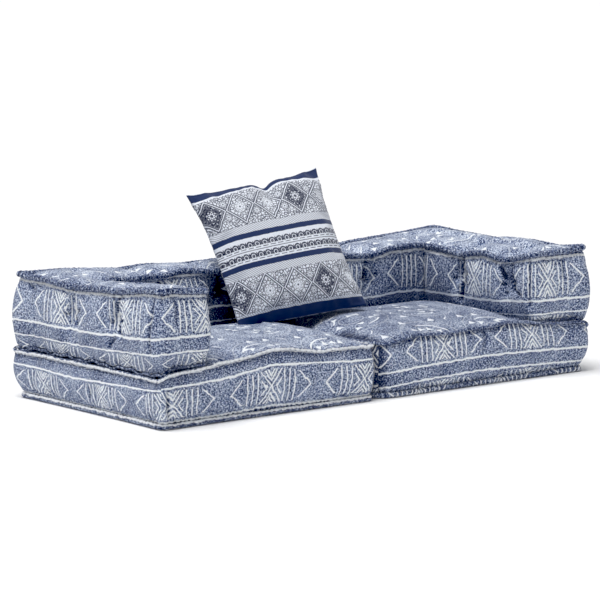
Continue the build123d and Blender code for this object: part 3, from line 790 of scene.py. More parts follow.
def sewn_cover(module, bolster):
    """Points, patches, rim and border of one cover, before it is puffed."""
    (plan, patches, rim), drawn = plan_of(module, bolster)
    loop = plan[rim]
    sag = sag_under(module, loop[:, 0], loop[:, 1])
    base = FOOT if bolster else 0.0
    low = base + 0.0106 - sag if bolster else np.full(len(rim), 0.018)  # the bottom seam
    heights = smooth_loop(np.array([seam_top(module, *p, bolster) for p in loop]), 1.6)
    sides = [side_of(module, *p, bolster) for p in loop]
    ahead = drawn(plan, 0.0)[rim]
    out = ahead - drawn(plan, 0.012)[rim]
    out /= np.linalg.norm(out, axis=1)[:, None]
    nearest = {}
    for t in tufts_of(module) if bolster else ():
        steps = [abs(s[1] - t[1]) if s[0] == t[0] else 9 for s in sides]
        nearest[t] = int(np.argmin(steps))
    step = np.linalg.norm(np.roll(ahead, -1, 0) - ahead, axis=1)
    along = np.concatenate([[0], np.cumsum(step)])[:-1]
    whole = step.sum()

    def off(i):
        """How far along the seam every rim point is from one of them."""
        return np.abs((along - along[i] + whole / 2) % whole - whole / 2)

    corners = {(0, FRONT): 1.0, (0, REAR): 1.25}
    if bolster:
        corners[module.arm, FRONT] = 0.35
    stuffed = np.zeros((len(rim), 2))
    for spot, share in corners.items():
        i = int(np.argmin(np.linalg.norm(loop - spot, axis=1)))
        stuffed += share * np.exp(-(off(i) / 0.055) ** 2)[:, None] * out[i]

    ring = []
    for k in range(ROWS + 1):
        share = k / ROWS
        z = low + (heights - low) * share
        inset = (LOW_IN + (TOP_IN - LOW_IN) * share) * (1 - arch(share))
        spots = ahead - out * np.broadcast_to(inset, (len(rim),))[:, None]
        pull = np.zeros(len(rim))
        for i in nearest.values():  # a dimple, a groove up to the seam, and a swell beside them
            gap = off(i)
            pull += 0.022 * np.exp(-(gap / 0.030) ** 2 - ((z - TUFT_UP) / 0.038) ** 2)
            pull += 0.014 * np.exp(-(gap / 0.010) ** 2) * np.clip((z - 0.228) / 0.05, 0, 1)
            pull -= 0.005 * np.exp(-((gap - 0.085) / 0.04) ** 2) * arch(share)
        full = (0.9 - 0.75 * share ** 3) if bolster else (1 - (1 - share) ** 2)
        spots += stuffed * STUFFED * full - out * pull[:, None]
        ring.append(np.column_stack([spots, z]))
    ring = np.array(ring)

    gap, owner = clear_of(plan, loop, 0.2)
    z = heights[owner]
    if bolster:
        crown = 0.014 * np.clip(gap / 0.075, 0, 1) * (2 - np.clip(gap / 0.075, 0, 1))
        ease = np.exp(-gap / 0.06)
        z = z * ease + smooth_loop(heights, 9)[owner] * (1 - ease) + crown
        for side, t in nearest:
            along_arm = side in ("outer", "arm")
            here = plan[:, 1] if along_arm else plan[:, 0]
            mask = plan[:, 0] < module.arm if along_arm else plan[:, 1] > BACK_FRONT
            z -= np.where(mask, 0.009 * np.exp(-((here - t) / 0.022) ** 2), 0)
    else:
        z = SEAT_TOP - 0.0006 + (z - SEAT_TOP) * np.exp(-(gap / 0.045) ** 2)
        z += seat_dome(module, plan)
        carries = (plan[:, 0] < module.arm + 0.004) | (plan[:, 1] > BACK_FRONT - 0.004)
        under = SEAT_TOP - 0.0004 - sag_under(module, plan[:, 0], plan[:, 1])
        z = np.where(carries, np.minimum(z, under), z)
    top = np.column_stack([drawn(plan, TOP_IN), z])
    top[rim] = ring[-1]
    underside = np.full(len(plan), base + 0.0002)
    if bolster:
        underside -= sag_under(module, plan[:, 0], plan[:, 1])
    bottom = np.column_stack([drawn(plan, FOOT_IN), underside])
    return dict(plan=plan, patches=patches, rim=rim, ring=ring, top=top, bottom=bottom, loop=loop,
                nearest=nearest, out=out)


def seat_dome(module, plan):
    """The crown of the sitting area: full in its middle and nothing at its edges."""
    u0, u1, v0, v1 = module.arm - 0.01, module.length - 0.014, FRONT + 0.014, BACK_FRONT + 0.01
    across = np.minimum((plan[:, 0] - u0) / 0.13, (u1 - plan[:, 0]) / 0.15)
    deep = np.minimum((plan[:, 1] - v0) / 0.20, (v1 - plan[:, 1]) / 0.17)
    across, deep = np.clip(across, 0, 1), np.clip(deep, 0, 1)
    return module.crown * across * (2 - across) * deep * (2 - deep)


# %% Mesh and cloth map of a cover
def new_piece(name, points, faces, cloth=None, edges=()):
    """A new object, and a chart of where each corner of its faces lies on the flat cloth."""
    mesh = bpy.data.meshes.new(name)
    mesh.from_pydata(points.tolist(), edges, faces)
    if cloth:
        corners = np.array([spot for face in cloth for spot in face], dtype=np.float32)
        mesh.uv_layers.new(name="cloth").data.foreach_set("uv", corners.ravel())
    piece = bpy.data.objects.new(name, mesh)
    scene.collection.objects.link(piece)
    return piece


def cover_mesh(name, module, bolster, cut):
    """Joins the panels and the border of a cover into one closed mesh with its cloth map."""
    plan, patches, rim, ring = cut["plan"], cut["patches"], cut["rim"], cut["ring"]
    n, rows, loops = len(plan), len(ring) - 1, len(rim)
    inward = np.column_stack([cut["out"] * 0.004, np.zeros(loops)])
    tuck = cut["bottom"][rim] * 0.5 + ring[0] * 0.5 - inward
    points = np.vstack([cut["bottom"], cut["top"], tuck] + [ring[k] for k in range(rows)])
    tuck_at, ring_at = 2 * n, 2 * n + loops

    def spot(row, k):
        k %= loops
        if row == -2:
            return rim[k]
        if row == -1:
            return tuck_at + k
        return n + rim[k] if row == rows else ring_at + row * loops + k

    faces, cloth, top_faces = [], [], []
    for patch in patches:
        faces.append(patch[::-1])
        cloth.append([(plan[i][0] * 0.2, 0.12 + plan[i][1] * 0.02) for i in patch[::-1]])
        faces.append(tuple(n + i for i in patch))
        cloth.append([tuple(plan[i]) for i in patch])
        top_faces.append(len(faces) - 1)
    for k in range(loops):
        a, b = cut["loop"][k], cut["loop"][(k + 1) % loops]
        middle = (a + b) / 2
        side, halfway = side_of(module, *middle, bolster)
        axis = 1 if side in ("outer", "arm", "split") else 0
        ends = [strip_along(module, bolster, side, p[axis], halfway) for p in (a, b)]
        ups = [[strip_up(module, bolster, side, p[axis], ring[row][(k + j) % loops][2],
                         ring[rows][(k + j) % loops][2])
                for j, p in enumerate((a, b))] for row in range(rows + 1)]
        for row in range(-2, rows):
            low_ups, high_ups = ups[max(row, 0)], ups[max(row + 1, 0)]
            faces.append((spot(row, k), spot(row, k + 1), spot(row + 1, k + 1), spot(row + 1, k)))
            cloth.append([(ends[0], low_ups[0]), (ends[1], low_ups[1]),
                          (ends[1], high_ups[1]), (ends[0], high_ups[0])])
    points[:, 0] = module.outer + module.side * points[:, 0]
    piece = new_piece(name, points, faces, cloth)
    for k in top_faces:
        piece.data.polygons[k].material_index = 1
    if module.side < 0:
        piece.data.flip_normals()
    held = set(range(n)) | {tuck_at + k for k in range(loops)} | {spot(0, k) for k in range(loops)}
    held |= {spot(rows, k) for k in range(loops)}
    if bolster:
        for i in cut["nearest"].values():
            for row in range(rows + 1):
                for k in range(i - 1, i + 2):
                    z = ring[row][k % loops][2]
                    if abs(z - TUFT_UP) < 0.007:
                        held.add(spot(row, k))
    else:
        under = (plan[:, 0] < module.arm) | (plan[:, 1] > BACK_FRONT)
        held |= {n + i for i in np.nonzero(under)[0].tolist()}
    group = piece.vertex_groups.new(name="held")
    group.add(sorted(held), 1.0, "REPLACE")
    return piece


# %% Puffing
def puff(piece, pressure, cap, growth=0.02, frames=20):
    """Inflates a piece as cloth while its held points stay, and caps how far any point moves."""
    mesh = piece.data
    count = len(mesh.vertices)
    start = np.empty(count * 3)
    mesh.vertices.foreach_get("co", start)
    cloth = piece.modifiers.new("puff", "CLOTH").settings
    cloth.quality = 5
    cloth.mass = 0.3
    cloth.tension_stiffness = cloth.compression_stiffness = 12
    cloth.shear_stiffness = 4
    cloth.bending_stiffness = 0.15
    cloth.air_damping = 2
    cloth.use_pressure = True
    cloth.uniform_pressure_force = pressure
    cloth.shrink_min = -growth
    cloth.vertex_group_mass = "held"
    cloth.effector_weights.gravity = 0
    for step in range(1, frames + 1):
        scene.frame_set(step)
    puffed = piece.evaluated_get(bpy.context.evaluated_depsgraph_get()).to_mesh()
    end = np.empty(count * 3)
    puffed.vertices.foreach_get("co", end)
    start, end = start.reshape(-1, 3), end.reshape(-1, 3)
    moved = end - start
    length = np.linalg.norm(moved, axis=1)
    scale = np.where(length > 1e-9, cap * np.tanh(length / cap) / np.maximum(length, 1e-9), 1)
    piece.modifiers.clear()
    end = start + moved * scale[:, None]
    mesh.vertices.foreach_set("co", end.ravel())
    scene.frame_set(1)
    print(piece.name, "puffed by up to", round(float((length * scale).max()) * 1000, 1), "mm")


def keep_made(piece):
    """Makes what a piece's modifiers give its own mesh, and takes the modifiers off."""
    made = bpy.data.meshes.new_from_object(
        piece.evaluated_get(bpy.context.evaluated_depsgraph_get()))
    piece.modifiers.clear()
    old, piece.data = piece.data, made
    bpy.data.meshes.remove(old)
    made.name = piece.name
    made.shade_smooth()


def finer(piece):
    """Divides every patch in four and smooths, and keeps the result as the piece's mesh."""
    divide = piece.modifiers.new("finer", "SUBSURF")
    divide.levels = divide.render_levels = 1
    divide.uv_smooth = "NONE"
    keep_made(piece)


def seam_path(module, cut, row, lift, out):
    """A seam's points and outward ways, in the room's frame, moved up and out from the border."""
    ring = cut["ring"][row].copy()
    ways = np.column_stack([cut["out"], np.zeros(len(ring))])
    ring += ways * out
    ring[:, 2] += lift
    ring[:, 0] = module.outer + module.side * ring[:, 0]
    ways[:, 0] *= module.side
    return ring, ways


def points_of(piece):
    spots = np.empty(len(piece.data.vertices) * 3)
    piece.data.vertices.foreach_get("co", spots)
    return spots.reshape(-1, 3)


def set_points(piece, spots):
    piece.data.vertices.foreach_set("co", np.ascontiguousarray(spots).ravel())
    piece.data.update()


# %% [markdown]
# ## Puckers
# Where a seam is gathered, the cloth beside it folds in short ridges square to the seam, about
# as long as a finger is wide, and no two alike. The cloth simulation's patches are too large for
# them, so they are pressed in afterwards: each point near a seam finds its place along it, and
# sinks where a stitch pulls and stays between two. The same stitches shape the rolls.

# %% Puckers along a seam
chance = np.random.default_rng(7)
FINE = 0.0016


def along_closed(path, step):
    """A closed path's points at an even step, with what else they carry, and how long it is."""
    gaps = np.linalg.norm((np.roll(path, -1, 0) - path)[:, :3], axis=1)
    old = np.concatenate([[0], np.cumsum(gaps)])
    fresh = np.linspace(0, old[-1], int(old[-1] / step), endpoint=False)
    loop = np.vstack([path, path[:1]])
    return np.column_stack([np.interp(fresh, old, column) for column in loop.T]), fresh, old[-1]


def rhythm(count, pitch):
    """An uneven rhythm of gathers round a closed seam: 0 at a stitch and 1 between two."""
    beats, place = [], 0.0
    while place < count - pitch * 0.6:
        beats.append(place)
        place += pitch * chance.uniform(0.7, 1.4)
    beats = np.array(beats + [count])
    spots = np.arange(count)
    k = np.clip(np.searchsorted(beats, spots, "right") - 1, 0, len(beats) - 2)
    share = (spots - beats[k]) / (beats[k + 1] - beats[k])
    strength = chance.uniform(0.35, 1.0, len(beats))[k]
    return np.sin(np.pi * share) ** 0.8, strength


def nearest_on(path, spots):
    """For each spot, which point of a path is nearest, and how far it is."""
    tree = KDTree(len(path))
    for k, point in enumerate(path):
        tree.insert(point, k)
    tree.balance()
    found = [tree.find(spot) for spot in spots.tolist()]
    return np.array([f[1] for f in found]), np.array([f[2] for f in found])


def pucker(spots, path, pitch, depth, reach):
    """How deep the gathers beside a seam press each point of a cover."""
    fine, _, _ = along_closed(path, FINE)
    beat, strength = rhythm(len(fine), pitch / FINE)
    k, gap = nearest_on(fine, spots)
    fade = np.exp(-(gap / (reach * (0.5 + strength[k]))) ** 2)
    return depth * strength[k] * (1 - beat[k]) * fade


def skin_of(piece):
    """A search tree of a piece's faces."""
    faces = [tuple(face.vertices) for face in piece.data.polygons]
    return BVHTree.FromPolygons(points_of(piece).tolist(), faces)


def on_side(module, side, place, z):
    """A point of a module's nominal outline in the room's frame."""
    u, v = {"outer": (0, place), "arm": (module.arm, place), "front": (place, FRONT),
            "back": (place, BACK_FRONT), "rear": (place, REAR)}[side]
    return Vector((module.outer + module.side * u, v, z))


def crease(spots, skin, stops, depth, width):
    """How deep a fold along some stops, laid on the cloth, presses each point of a cover."""
    path = []
    for near, far in zip(stops, stops[1:]):
        path += [near.lerp(far, k / 12) for k in range(12)]
    path = np.array([tuple(skin.find_nearest(point)[0]) for point in path])
    k, gap = nearest_on(path, spots)
    taper = np.sin(np.pi * (0.12 + 0.76 * k / len(path))) ** 0.7
    groove, ridges = np.exp(-(gap / width) ** 2), np.exp(-((gap / width - 2.6) / 1.2) ** 2)
    return depth * taper * (groove - 0.2 * ridges)


# %% Folds that the photo shows
# For each: the side, its stops as a place along the side and a height, its depth and half width.
FOLDS = {
    "left_bolster": (
        ("outer", ((-0.160, 0.366), (-0.141, 0.335), (-0.137, 0.305), (-0.150, 0.270),
                   (-0.180, 0.246)), 0.024, 0.0085),
        ("outer", ((0.068, 0.358), (0.079, 0.330), (0.076, 0.300), (0.060, 0.268),
                   (0.045, 0.256)), 0.018, 0.0070),
        ("outer", ((-0.330, 0.384), (-0.335, 0.330), (-0.326, 0.270), (-0.328, 0.215)),
         0.008, 0.0070),
        ("outer", ((-0.140, 0.238), (-0.122, 0.222), (-0.118, 0.205)), 0.008, 0.0055),
        ("outer", ((0.300, 0.352), (0.260, 0.330)), 0.006, 0.0060),
        ("front", ((0.045, 0.380), (0.052, 0.345), (0.046, 0.300)), 0.006, 0.0060),
        ("arm", ((-0.300, 0.360), (-0.296, 0.300), (-0.302, 0.230)), 0.006, 0.0060),
    ),
    "right_bolster": (
        ("arm", ((-0.028, 0.345), (-0.036, 0.315), (-0.042, 0.285), (-0.032, 0.250),
                 (-0.030, 0.215)), 0.024, 0.0100),
        ("arm", ((-0.259, TUFT_UP), (-0.262, 0.280)), 0.028, 0.0130),
        ("arm", ((-0.259, TUFT_UP), (-0.232, 0.312), (-0.212, 0.340)), 0.014, 0.0075),
        ("arm", ((-0.259, TUFT_UP), (-0.290, 0.265), (-0.320, 0.258)), 0.008, 0.0055),
        ("arm", ((-0.345, 0.370), (-0.352, 0.300), (-0.350, 0.225)), 0.007, 0.0070),
        ("front", ((0.100, 0.374), (0.106, 0.330), (0.098, 0.292)), 0.005, 0.0060),
    ),
    "left_seat": (
        ("front", ((0.014, 0.112), (0.018, 0.070), (0.030, 0.030)), 0.009, 0.0065),
        ("outer", ((-0.290, 0.120), (-0.300, 0.100)), 0.007, 0.0050),
        ("outer", ((-0.020, 0.080), (-0.010, 0.045)), 0.006, 0.0060),
    ),
    "right_seat": (
        ("front", ((0.440, 0.190), (0.425, 0.150), (0.440, 0.110)), 0.005, 0.0070),
    ),
}
print("single folds:", {name: len(folds) for name, folds in FOLDS.items()})


def tuft_folds(module):
    """The drag lines of every tuft: one up to the seam, and a few that fan out."""
    lines = []
    for side, place in tufts_of(module):
        tuft = (place, TUFT_UP)
        lines.append((side, (tuft, (place + 0.004, 0.30)), 0.020, 0.0120))
        lines.append((side, (tuft, (place + 0.006, 0.32), (place - 0.004, 0.362)), 0.011, 0.0060))
        for angle in chance.uniform(0, 0.6) + np.array([2.6, 3.7, 4.9, 5.9]):
            far = chance.uniform(0.030, 0.055)
            tip = (place + far * math.cos(angle), TUFT_UP + far * 0.8 * math.sin(angle))
            lines.append((side, (tuft, tip), 0.006, 0.0045))
    return lines


# %% Shade and pressing
# BEHIND_PILLOW centres the painted shade behind the pillow; a fold DEEP_FOLD deep gets the darkest
# painted shade.
BEHIND_PILLOW = 0.69  # where the pillow's left edge stands, along the left back
DEEP_FOLD = 0.011


def corner_shade(module, bolster, spots):
    """Shade painted in where the photo is dark: behind the pillow, in a corner, over the seats' tops
    and at the split.
    """
    u, v = (spots[:, 0] - module.outer) * module.side, spots[:, 1]
    if bolster:
        dark, amount, reach = module.arm, 0.24, 0.200
        if module.side > 0:
            dark, amount, reach = BEHIND_PILLOW, 1.0, 0.140
        gap = np.hypot(u - dark, v - BACK_FRONT)
        inner = (u > module.arm - 0.03) & (v < BACK_FRONT + 0.03) & (spots[:, 2] < 0.345)
        return np.where(inner, amount * np.exp(-(gap / reach) ** 4), 0)
    # At the split, the seats' fronts get painted shade near the corner where they meet.
    reach = 0.016 if module.side > 0 else 0.040
    front = np.clip((spots[:, 2] - 0.02) / 0.02, 0, 1) * (v < FRONT + 0.2)
    # Every seat's top gets a flat painted shade, the right one more.
    top = (0.235 if module.side < 0 else 0.10) * (spots[:, 2] > 0.165)
    return top + 0.75 * front * np.exp(-((module.length - u) / reach) ** 4)


def note_painted_shade(piece, dark):
    """Writes down, as the fold attribute for the finish to read, how much shade is painted at each
    point.
    """
    notes = piece.data.attributes.new("fold", "FLOAT", "POINT")
    notes.data.foreach_set("value", dark.astype(np.float32))


def press(piece, depths, shade):
    """Presses a cover in by a depth at each point, and notes the shade painted there: the deeper it
    lies in a fold, the darker, plus the given shade.
    """
    count = len(piece.data.vertices)
    normals = np.empty(count * 3)
    piece.data.vertices.foreach_get("normal", normals)
    set_points(piece, points_of(piece) - normals.reshape(-1, 3) * depths[:, None])
    # Painted shade grows with a fold's depth, to its darkest at DEEP_FOLD, and adds the given shade.
    dark = np.clip(np.minimum(depths / DEEP_FOLD, 0.82) + shade, 0, 1.3)
    note_painted_shade(piece, dark)


# %% Covers of the seats and bolsters
# A seam's row in the border, then its gathers' pitch, depth and reach.
GATHERS = ((0, 0.017, 0.0075, 0.016), (-1, 0.019, 0.0060, 0.016))
SPLIT = {"left": (np.minimum, -0.0354), "right": (np.maximum, -0.0346)}


def within_room(module, bolster, piece):
    """Keeps a cover off the floor, off the cover that it meets, and on its side of the split."""
    spots = points_of(piece)
    u = (spots[:, 0] - module.outer) * module.side
    sag = sag_under(module, u, spots[:, 1])
    if bolster:
        spots[:, 2] = np.maximum(spots[:, 2], FOOT + 0.0001 - sag)
    else:
        spots[:, 2] = np.maximum(spots[:, 2], 0.0002)
        under = (u < module.arm + 0.001) | (spots[:, 1] > BACK_FRONT - 0.001)
        spots[:, 2] = np.where(under, np.minimum(spots[:, 2], SEAT_TOP - sag), spots[:, 2])
    limit, split = SPLIT[module.name]
    spots[:, 0] = limit(spots[:, 0], split)
    set_points(piece, spots)


covers, cuts = {}, {}
for module in MODULES:
    for bolster in (False, True):
        name = f"{module.name}_{'bolster' if bolster else 'seat'}"
        cut = sewn_cover(module, bolster)
        piece = cover_mesh(f"{name}_cloth", module, bolster, cut)
        puff(piece, 5.0 if bolster else 4.0, 0.022 if bolster else 0.018)
        within_room(module, bolster, piece)
        finer(piece)
        spots, skin = points_of(piece), skin_of(piece)
        depths = sum(pucker(spots, seam_path(module, cut, row, 0, 0)[0], *gather)
                     for row, *gather in GATHERS)
        ridges = np.zeros(len(spots))
        for side, stops, depth, width in (*FOLDS[name], *(tuft_folds(module) if bolster else ())):
            stops = [on_side(module, side, *stop) for stop in stops]
            fold = crease(spots, skin, stops, depth, width)
            depths, ridges = np.maximum(depths, fold), np.minimum(ridges, fold)
        depths = np.where(depths > 0.0015, depths, depths + ridges)
        # The pressing also paints shade: from each fold's depth, and in corners, on the seat tops
        # and at the split.
        press(piece, depths, corner_shade(module, bolster, spots))
        covers[name], cuts[name] = piece, cut
        print(piece.name, len(piece.data.polygons), "patches")

# %% [markdown]
# ## Rolled edges and piping
# After filling, a mattress maker pinches each seam and sews through the fold, which makes a
# firm roll along the edge. The stitches gather it, so it is a string of small puckers.
# Here a roll is a tube of twelve sides that follows the seam. Its radius swells between the
# stitches and shrinks at them, from one uneven rhythm that is the same each run.


# %% Rolls along seams
ROLL_STEP, SIDES = 0.0032, 12
STITCH_PITCH = 0.016
SQUEEZE = 0.28  # the share of a roll's radius that a stitch takes away


def roll(name, path, outs, radius, cloth_up):
    """A stitched roll along a closed path, with ways that point out, level with the floor."""
    both, fresh, whole = along_closed(np.column_stack([path, outs]), ROLL_STEP)
    path, outs, count = both[:, :3], both[:, 3:], len(fresh)
    tangent = np.roll(path, -1, 0) - np.roll(path, 1, 0)
    tangent /= np.linalg.norm(tangent, axis=1)[:, None]
    outs -= tangent * (outs * tangent).sum(1)[:, None]
    outs /= np.linalg.norm(outs, axis=1)[:, None]
    rise = np.cross(tangent, outs)
    rise *= np.sign(rise[:, 2:3] + 1e-9)
    beat, strength = rhythm(count, STITCH_PITCH / ROLL_STEP)
    size = radius * (1 - SQUEEZE * strength * (1 - beat))
    turn = np.linspace(0, 2 * math.pi, SIDES, endpoint=False)
    lean = chance.normal(0, 0.0005, (count, 1))
    rings = (path[:, None] + outs[:, None] * (np.cos(turn)[None, :, None] * size[:, None, None])
             + rise[:, None] * (np.sin(turn)[None, :, None] * size[:, None, None])
             + rise[:, None] * lean[:, :, None])
    rings[:, :, 2] = np.maximum(rings[:, :, 2], 0.0003)
    faces, cloth = [], []
    for i in range(count):
        for j in range(SIDES):
            a, b = i * SIDES + j, i * SIDES + (j + 1) % SIDES
            c, d = ((k + SIDES) % (count * SIDES) for k in (b, a))
            faces.append((a, d, c, b))
            up = [cloth_up + radius * 2.2 * abs(((t / SIDES * 2 + 0.5) % 2) - 1)
                  for t in (j, j + 1)]
            s = (fresh[i], fresh[i] + whole / count)
            cloth.append([(s[0], up[0]), (s[1], up[0]), (s[1], up[1]), (s[0], up[1])])
    piece = new_piece(name, rings.reshape(-1, 3), faces, cloth)
    # A roll gets painted shade: a little all along it, and more where each stitch pinches it.
    note_painted_shade(piece, np.repeat(0.10 + 0.65 * strength * (1 - beat), SIDES))
    piece.data.shade_smooth()
    outward_faces(piece)
    return piece


def outward_faces(piece):
    """Turns a closed piece's faces outwards."""
    work = bmesh.new()
    work.from_mesh(piece.data)
    bmesh.ops.recalc_face_normals(work, faces=work.faces)
    work.to_mesh(piece.data)
    work.free()


# Which seam each roll follows (its row in the border), how far it is lifted and moved out, its
# radius, and how high up the strip its cloth is cut. PLAIN is the plain band above the crosses.
rolls = {}
PLAIN = 0.112
for module in MODULES:
    seat, bolster = cuts[f"{module.name}_seat"], cuts[f"{module.name}_bolster"]
    left = module.name == "left"
    for name, cut, row, lift, out, radius, up in (
        ("seat_top", seat, -1, 0.0005, 0.0035, 0.0052, 0.0985 if left else PLAIN),
        ("seat_bottom", seat, 0, -0.0085, -0.0005, 0.0088, 0.1452 if left else -0.076),
        ("bolster_bottom", bolster, 0, -0.005, -0.0045, 0.0050, PLAIN),
        ("bolster_top", bolster, -1, 0.0060, 0.0025, 0.0095, PLAIN),
    ):
        path, ways = seam_path(module, cut, row, lift, out)
        rolls[f"{module.name}_{name}"] = roll(f"{module.name}_{name}_edge", path, ways, radius, up)
print(len(rolls), "rolls")

# %% [markdown]
# ## The throw pillow
# A pillow cover is two squares sewn at their edges. Filled, the middle rises and the sides bow
# in between the corners, which stay as pointed ears. A hand pushed down its top edge left the
# dent there. Both panels are one lattice each, in the pillow's own plane, and are then turned,
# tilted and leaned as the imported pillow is.

# %% Pillow cover
THICK, DENT = 0.052, 0.022
ZIP_UP = -0.2147


def pillow_place(points):
    """Carries the pillow's own width, height and thickness to where it leans in the room."""
    turn, tilt, lean = (math.radians(a) for a in (-8.8, -6.7, -28.7))

    def about(axis, angle):
        c, s = math.cos(angle), math.sin(angle)
        return np.array({"z": [[c, -s, 0], [s, c, 0], [0, 0, 1]],
                         "y": [[c, 0, s], [0, 1, 0], [-s, 0, c]],
                         "x": [[1, 0, 0], [0, c, -s], [0, s, c]]}[axis])

    upright = points + np.array([0, PILLOW / 2, 0])
    upright = upright @ about("x", math.pi / 2).T
    return upright @ (about("z", turn) @ about("y", tilt) @ about("x", lean)).T + PILLOW_FOOT


low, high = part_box("pillow_zip_teeth")
PILLOW_FOOT = np.zeros(3)
zip_middle = pillow_place(np.array([[0, ZIP_UP, 0.0]]))[0]
PILLOW_FOOT = (np.array(low) + np.array(high)) / 2 - zip_middle
print("pillow foot", PILLOW_FOOT.round(4))


def pillow_shell(name, cells, size, thick, dent):
    """Two square panels sewn at their edges: bowed sides, ears, and a dent in the top edge."""
    half = size / 2
    # X and Y run from -1 to 1 over the square, with narrower patches near the seams.
    line = np.linspace(-1, 1, cells + 1)
    line = np.sign(line) * (1 - (1 - np.abs(line)) ** 1.15)
    X, Y = np.meshgrid(line, line, indexing="ij")
    # The sides bow in between the corners, and a hand has pressed a notch into the top one.
    bow_x = 0.945 + 0.055 * Y ** 2
    notch = np.exp(-np.abs((X - 0.12) / 0.11) ** 1.5)
    bow_top = 0.955 - dent / half * notch + 0.045 * X ** 4
    bow_low = 1.020 - 0.020 * X ** 2
    px = X * (1 - (1 - bow_x) * np.abs(X) ** 1.5) * half
    py = Y * (1 - (1 - np.where(Y > 0, bow_top, bow_low)) * np.abs(Y) ** 1.5) * half
    # The corners stand out as ears, the lower ones more, and the left ones are drawn in a little.
    ear = 1 + 0.022 * np.abs(X * Y) ** 4
    px = px * ear * (1 + 0.018 * np.clip(X, 0, 1))
    px = px + 0.014 * np.clip(-Y, 0, 1) ** 3 * np.clip(-X, 0, 1) ** 2
    py = py * (ear + 0.012 * np.clip(X * Y, 0, 1) ** 6)
    py = py * (1 + (0.045 + 0.03 * X) * np.clip(-Y, 0, 1))
    px = px - 0.010 * np.clip(Y, 0, 1) ** 3 * np.clip(-X, 0, 1) ** 4
    py = py - 0.008 * np.clip(Y, 0, 1) ** 3 * np.clip(-X, 0, 1) ** 2
    # The filling swells the middle, and the cup below the notch is where the hand pushed it away.
    swell = np.maximum((1 - X ** 2) * (1 - Y ** 2), 0) ** 0.42
    cup = 0.62 * np.exp(-((X - 0.12) / 0.16) ** 2) * np.clip(Y, 0, 1) ** 3
    pz = thick * swell * (1 - cup)
    # Both sheets share the points of their rim.
    number = np.arange((cells + 1) ** 2).reshape(cells + 1, cells + 1)
    rim = (np.abs(X) == 1) | (np.abs(Y) == 1)
    back = number + (cells + 1) ** 2
    back[rim] = number[rim]
    sheets = [np.stack([px, py, z], -1).reshape(-1, 3) for z in (pz, -pz)]
    used = np.concatenate([np.arange(len(sheets[0])), len(sheets[0]) + np.nonzero(~rim.ravel())[0]])
    where = np.full(2 * len(sheets[0]), -1)
    where[used] = np.arange(len(used))
    faces, cloth = [], []
    for sheet, step in ((number, 1), (back, -1)):
        for i in range(cells):
            for j in range(cells):
                quad = [(i, j), (i + 1, j), (i + 1, j + 1), (i, j + 1)][::step]
                faces.append(tuple(int(where[sheet[a, b]]) for a, b in quad))
                cloth.append([(line[a] * half,
                               line[b] * half if step > 0 else size - line[b] * half)
                              for a, b in quad])
    piece = new_piece(name, pillow_place(np.vstack(sheets)[used]), faces, cloth)
    piece.vertex_groups.new(name="held").add([int(k) for k in number[rim]], 1.0, "REPLACE")
    return piece


pillow = pillow_shell("pillow_cloth", 64, PILLOW, THICK, DENT)
puff(pillow, 2.0, 0.008, growth=0.03)
finer(pillow)


def rest_on(piece, other, gap, reach):
    """Lets a soft cover give way under a piece that rests on it, and a little way round it."""
    spots, others = points_of(piece), points_of(other)
    low, high = others.min(0) - reach, others.max(0) + reach
    near = np.nonzero(((spots > low) & (spots < high)).all(1))[0]
    skin = skin_of(other)
    sink = np.zeros(len(spots))
    for i in near.tolist():
        spot = Vector(spots[i])
        hit = skin.ray_cast(spot - Vector((0, 0, 0.12)), Vector((0, 0, 1)), 0.12 + gap)[0]
        if hit is not None:
            sink[i] = spot.z - hit.z + gap
    hollow = np.nonzero(sink > 0)[0]
    if len(hollow):
        k, far = nearest_on([tuple(p) for p in spots[hollow]], spots[near])
        sink[near] = np.maximum(sink[near], sink[hollow][k] * np.exp(-(far / reach) ** 2))
        spots[:, 2] -= sink
        set_points(piece, spots)
    print(piece.name, "gives way to", other.name, "by", round(float(sink.max()) * 1000, 1), "mm")


for module in MODULES:
    rest_on(covers[f"{module.name}_seat"], pillow, 0.0012, 0.03)
insert = pillow_shell("pillow_inner_bag", 36, 0.374, 0.040, 0.008)
finer(insert)
print("pillow:", len(pillow.data.polygons), "patches, inner bag:", len(insert.data.polygons))

# %% [markdown]
# ## Foam cores
# Inside each cushion is a block of cut foam, a little smaller than its cover. A saw leaves it
# with flat sides, and the wadding's pressure eases its edges and domes its top. The open cells
# are about 2 mm wide, so they are drawn as pits of that size.

# %% Foam cores
foam, tree, shader = material("cut polyurethane foam")
place = add(tree, "ShaderNodeTexCoord").outputs["Object"]
pits = add(tree, "ShaderNodeTexVoronoi", place, None, 420.0)
age = add(tree, "ShaderNodeTexNoise", place, None, 9.0, 3.0, 0.6)
tone = add(tree, "ShaderNodeMix", **COLOURS,
           sockets={0: age.outputs[0], 6: ink("#f1e8c9"), 7: ink("#dccb97")})
cloth_shader(tree, shader, tone.outputs[2], pits.outputs[0], 0.0006)
print("cut polyurethane foam:", len(tree.nodes), "nodes")

# %% Foam blocks
FOAM_CELL = 0.026  # the patches of a foam block can be larger, because it has no folds


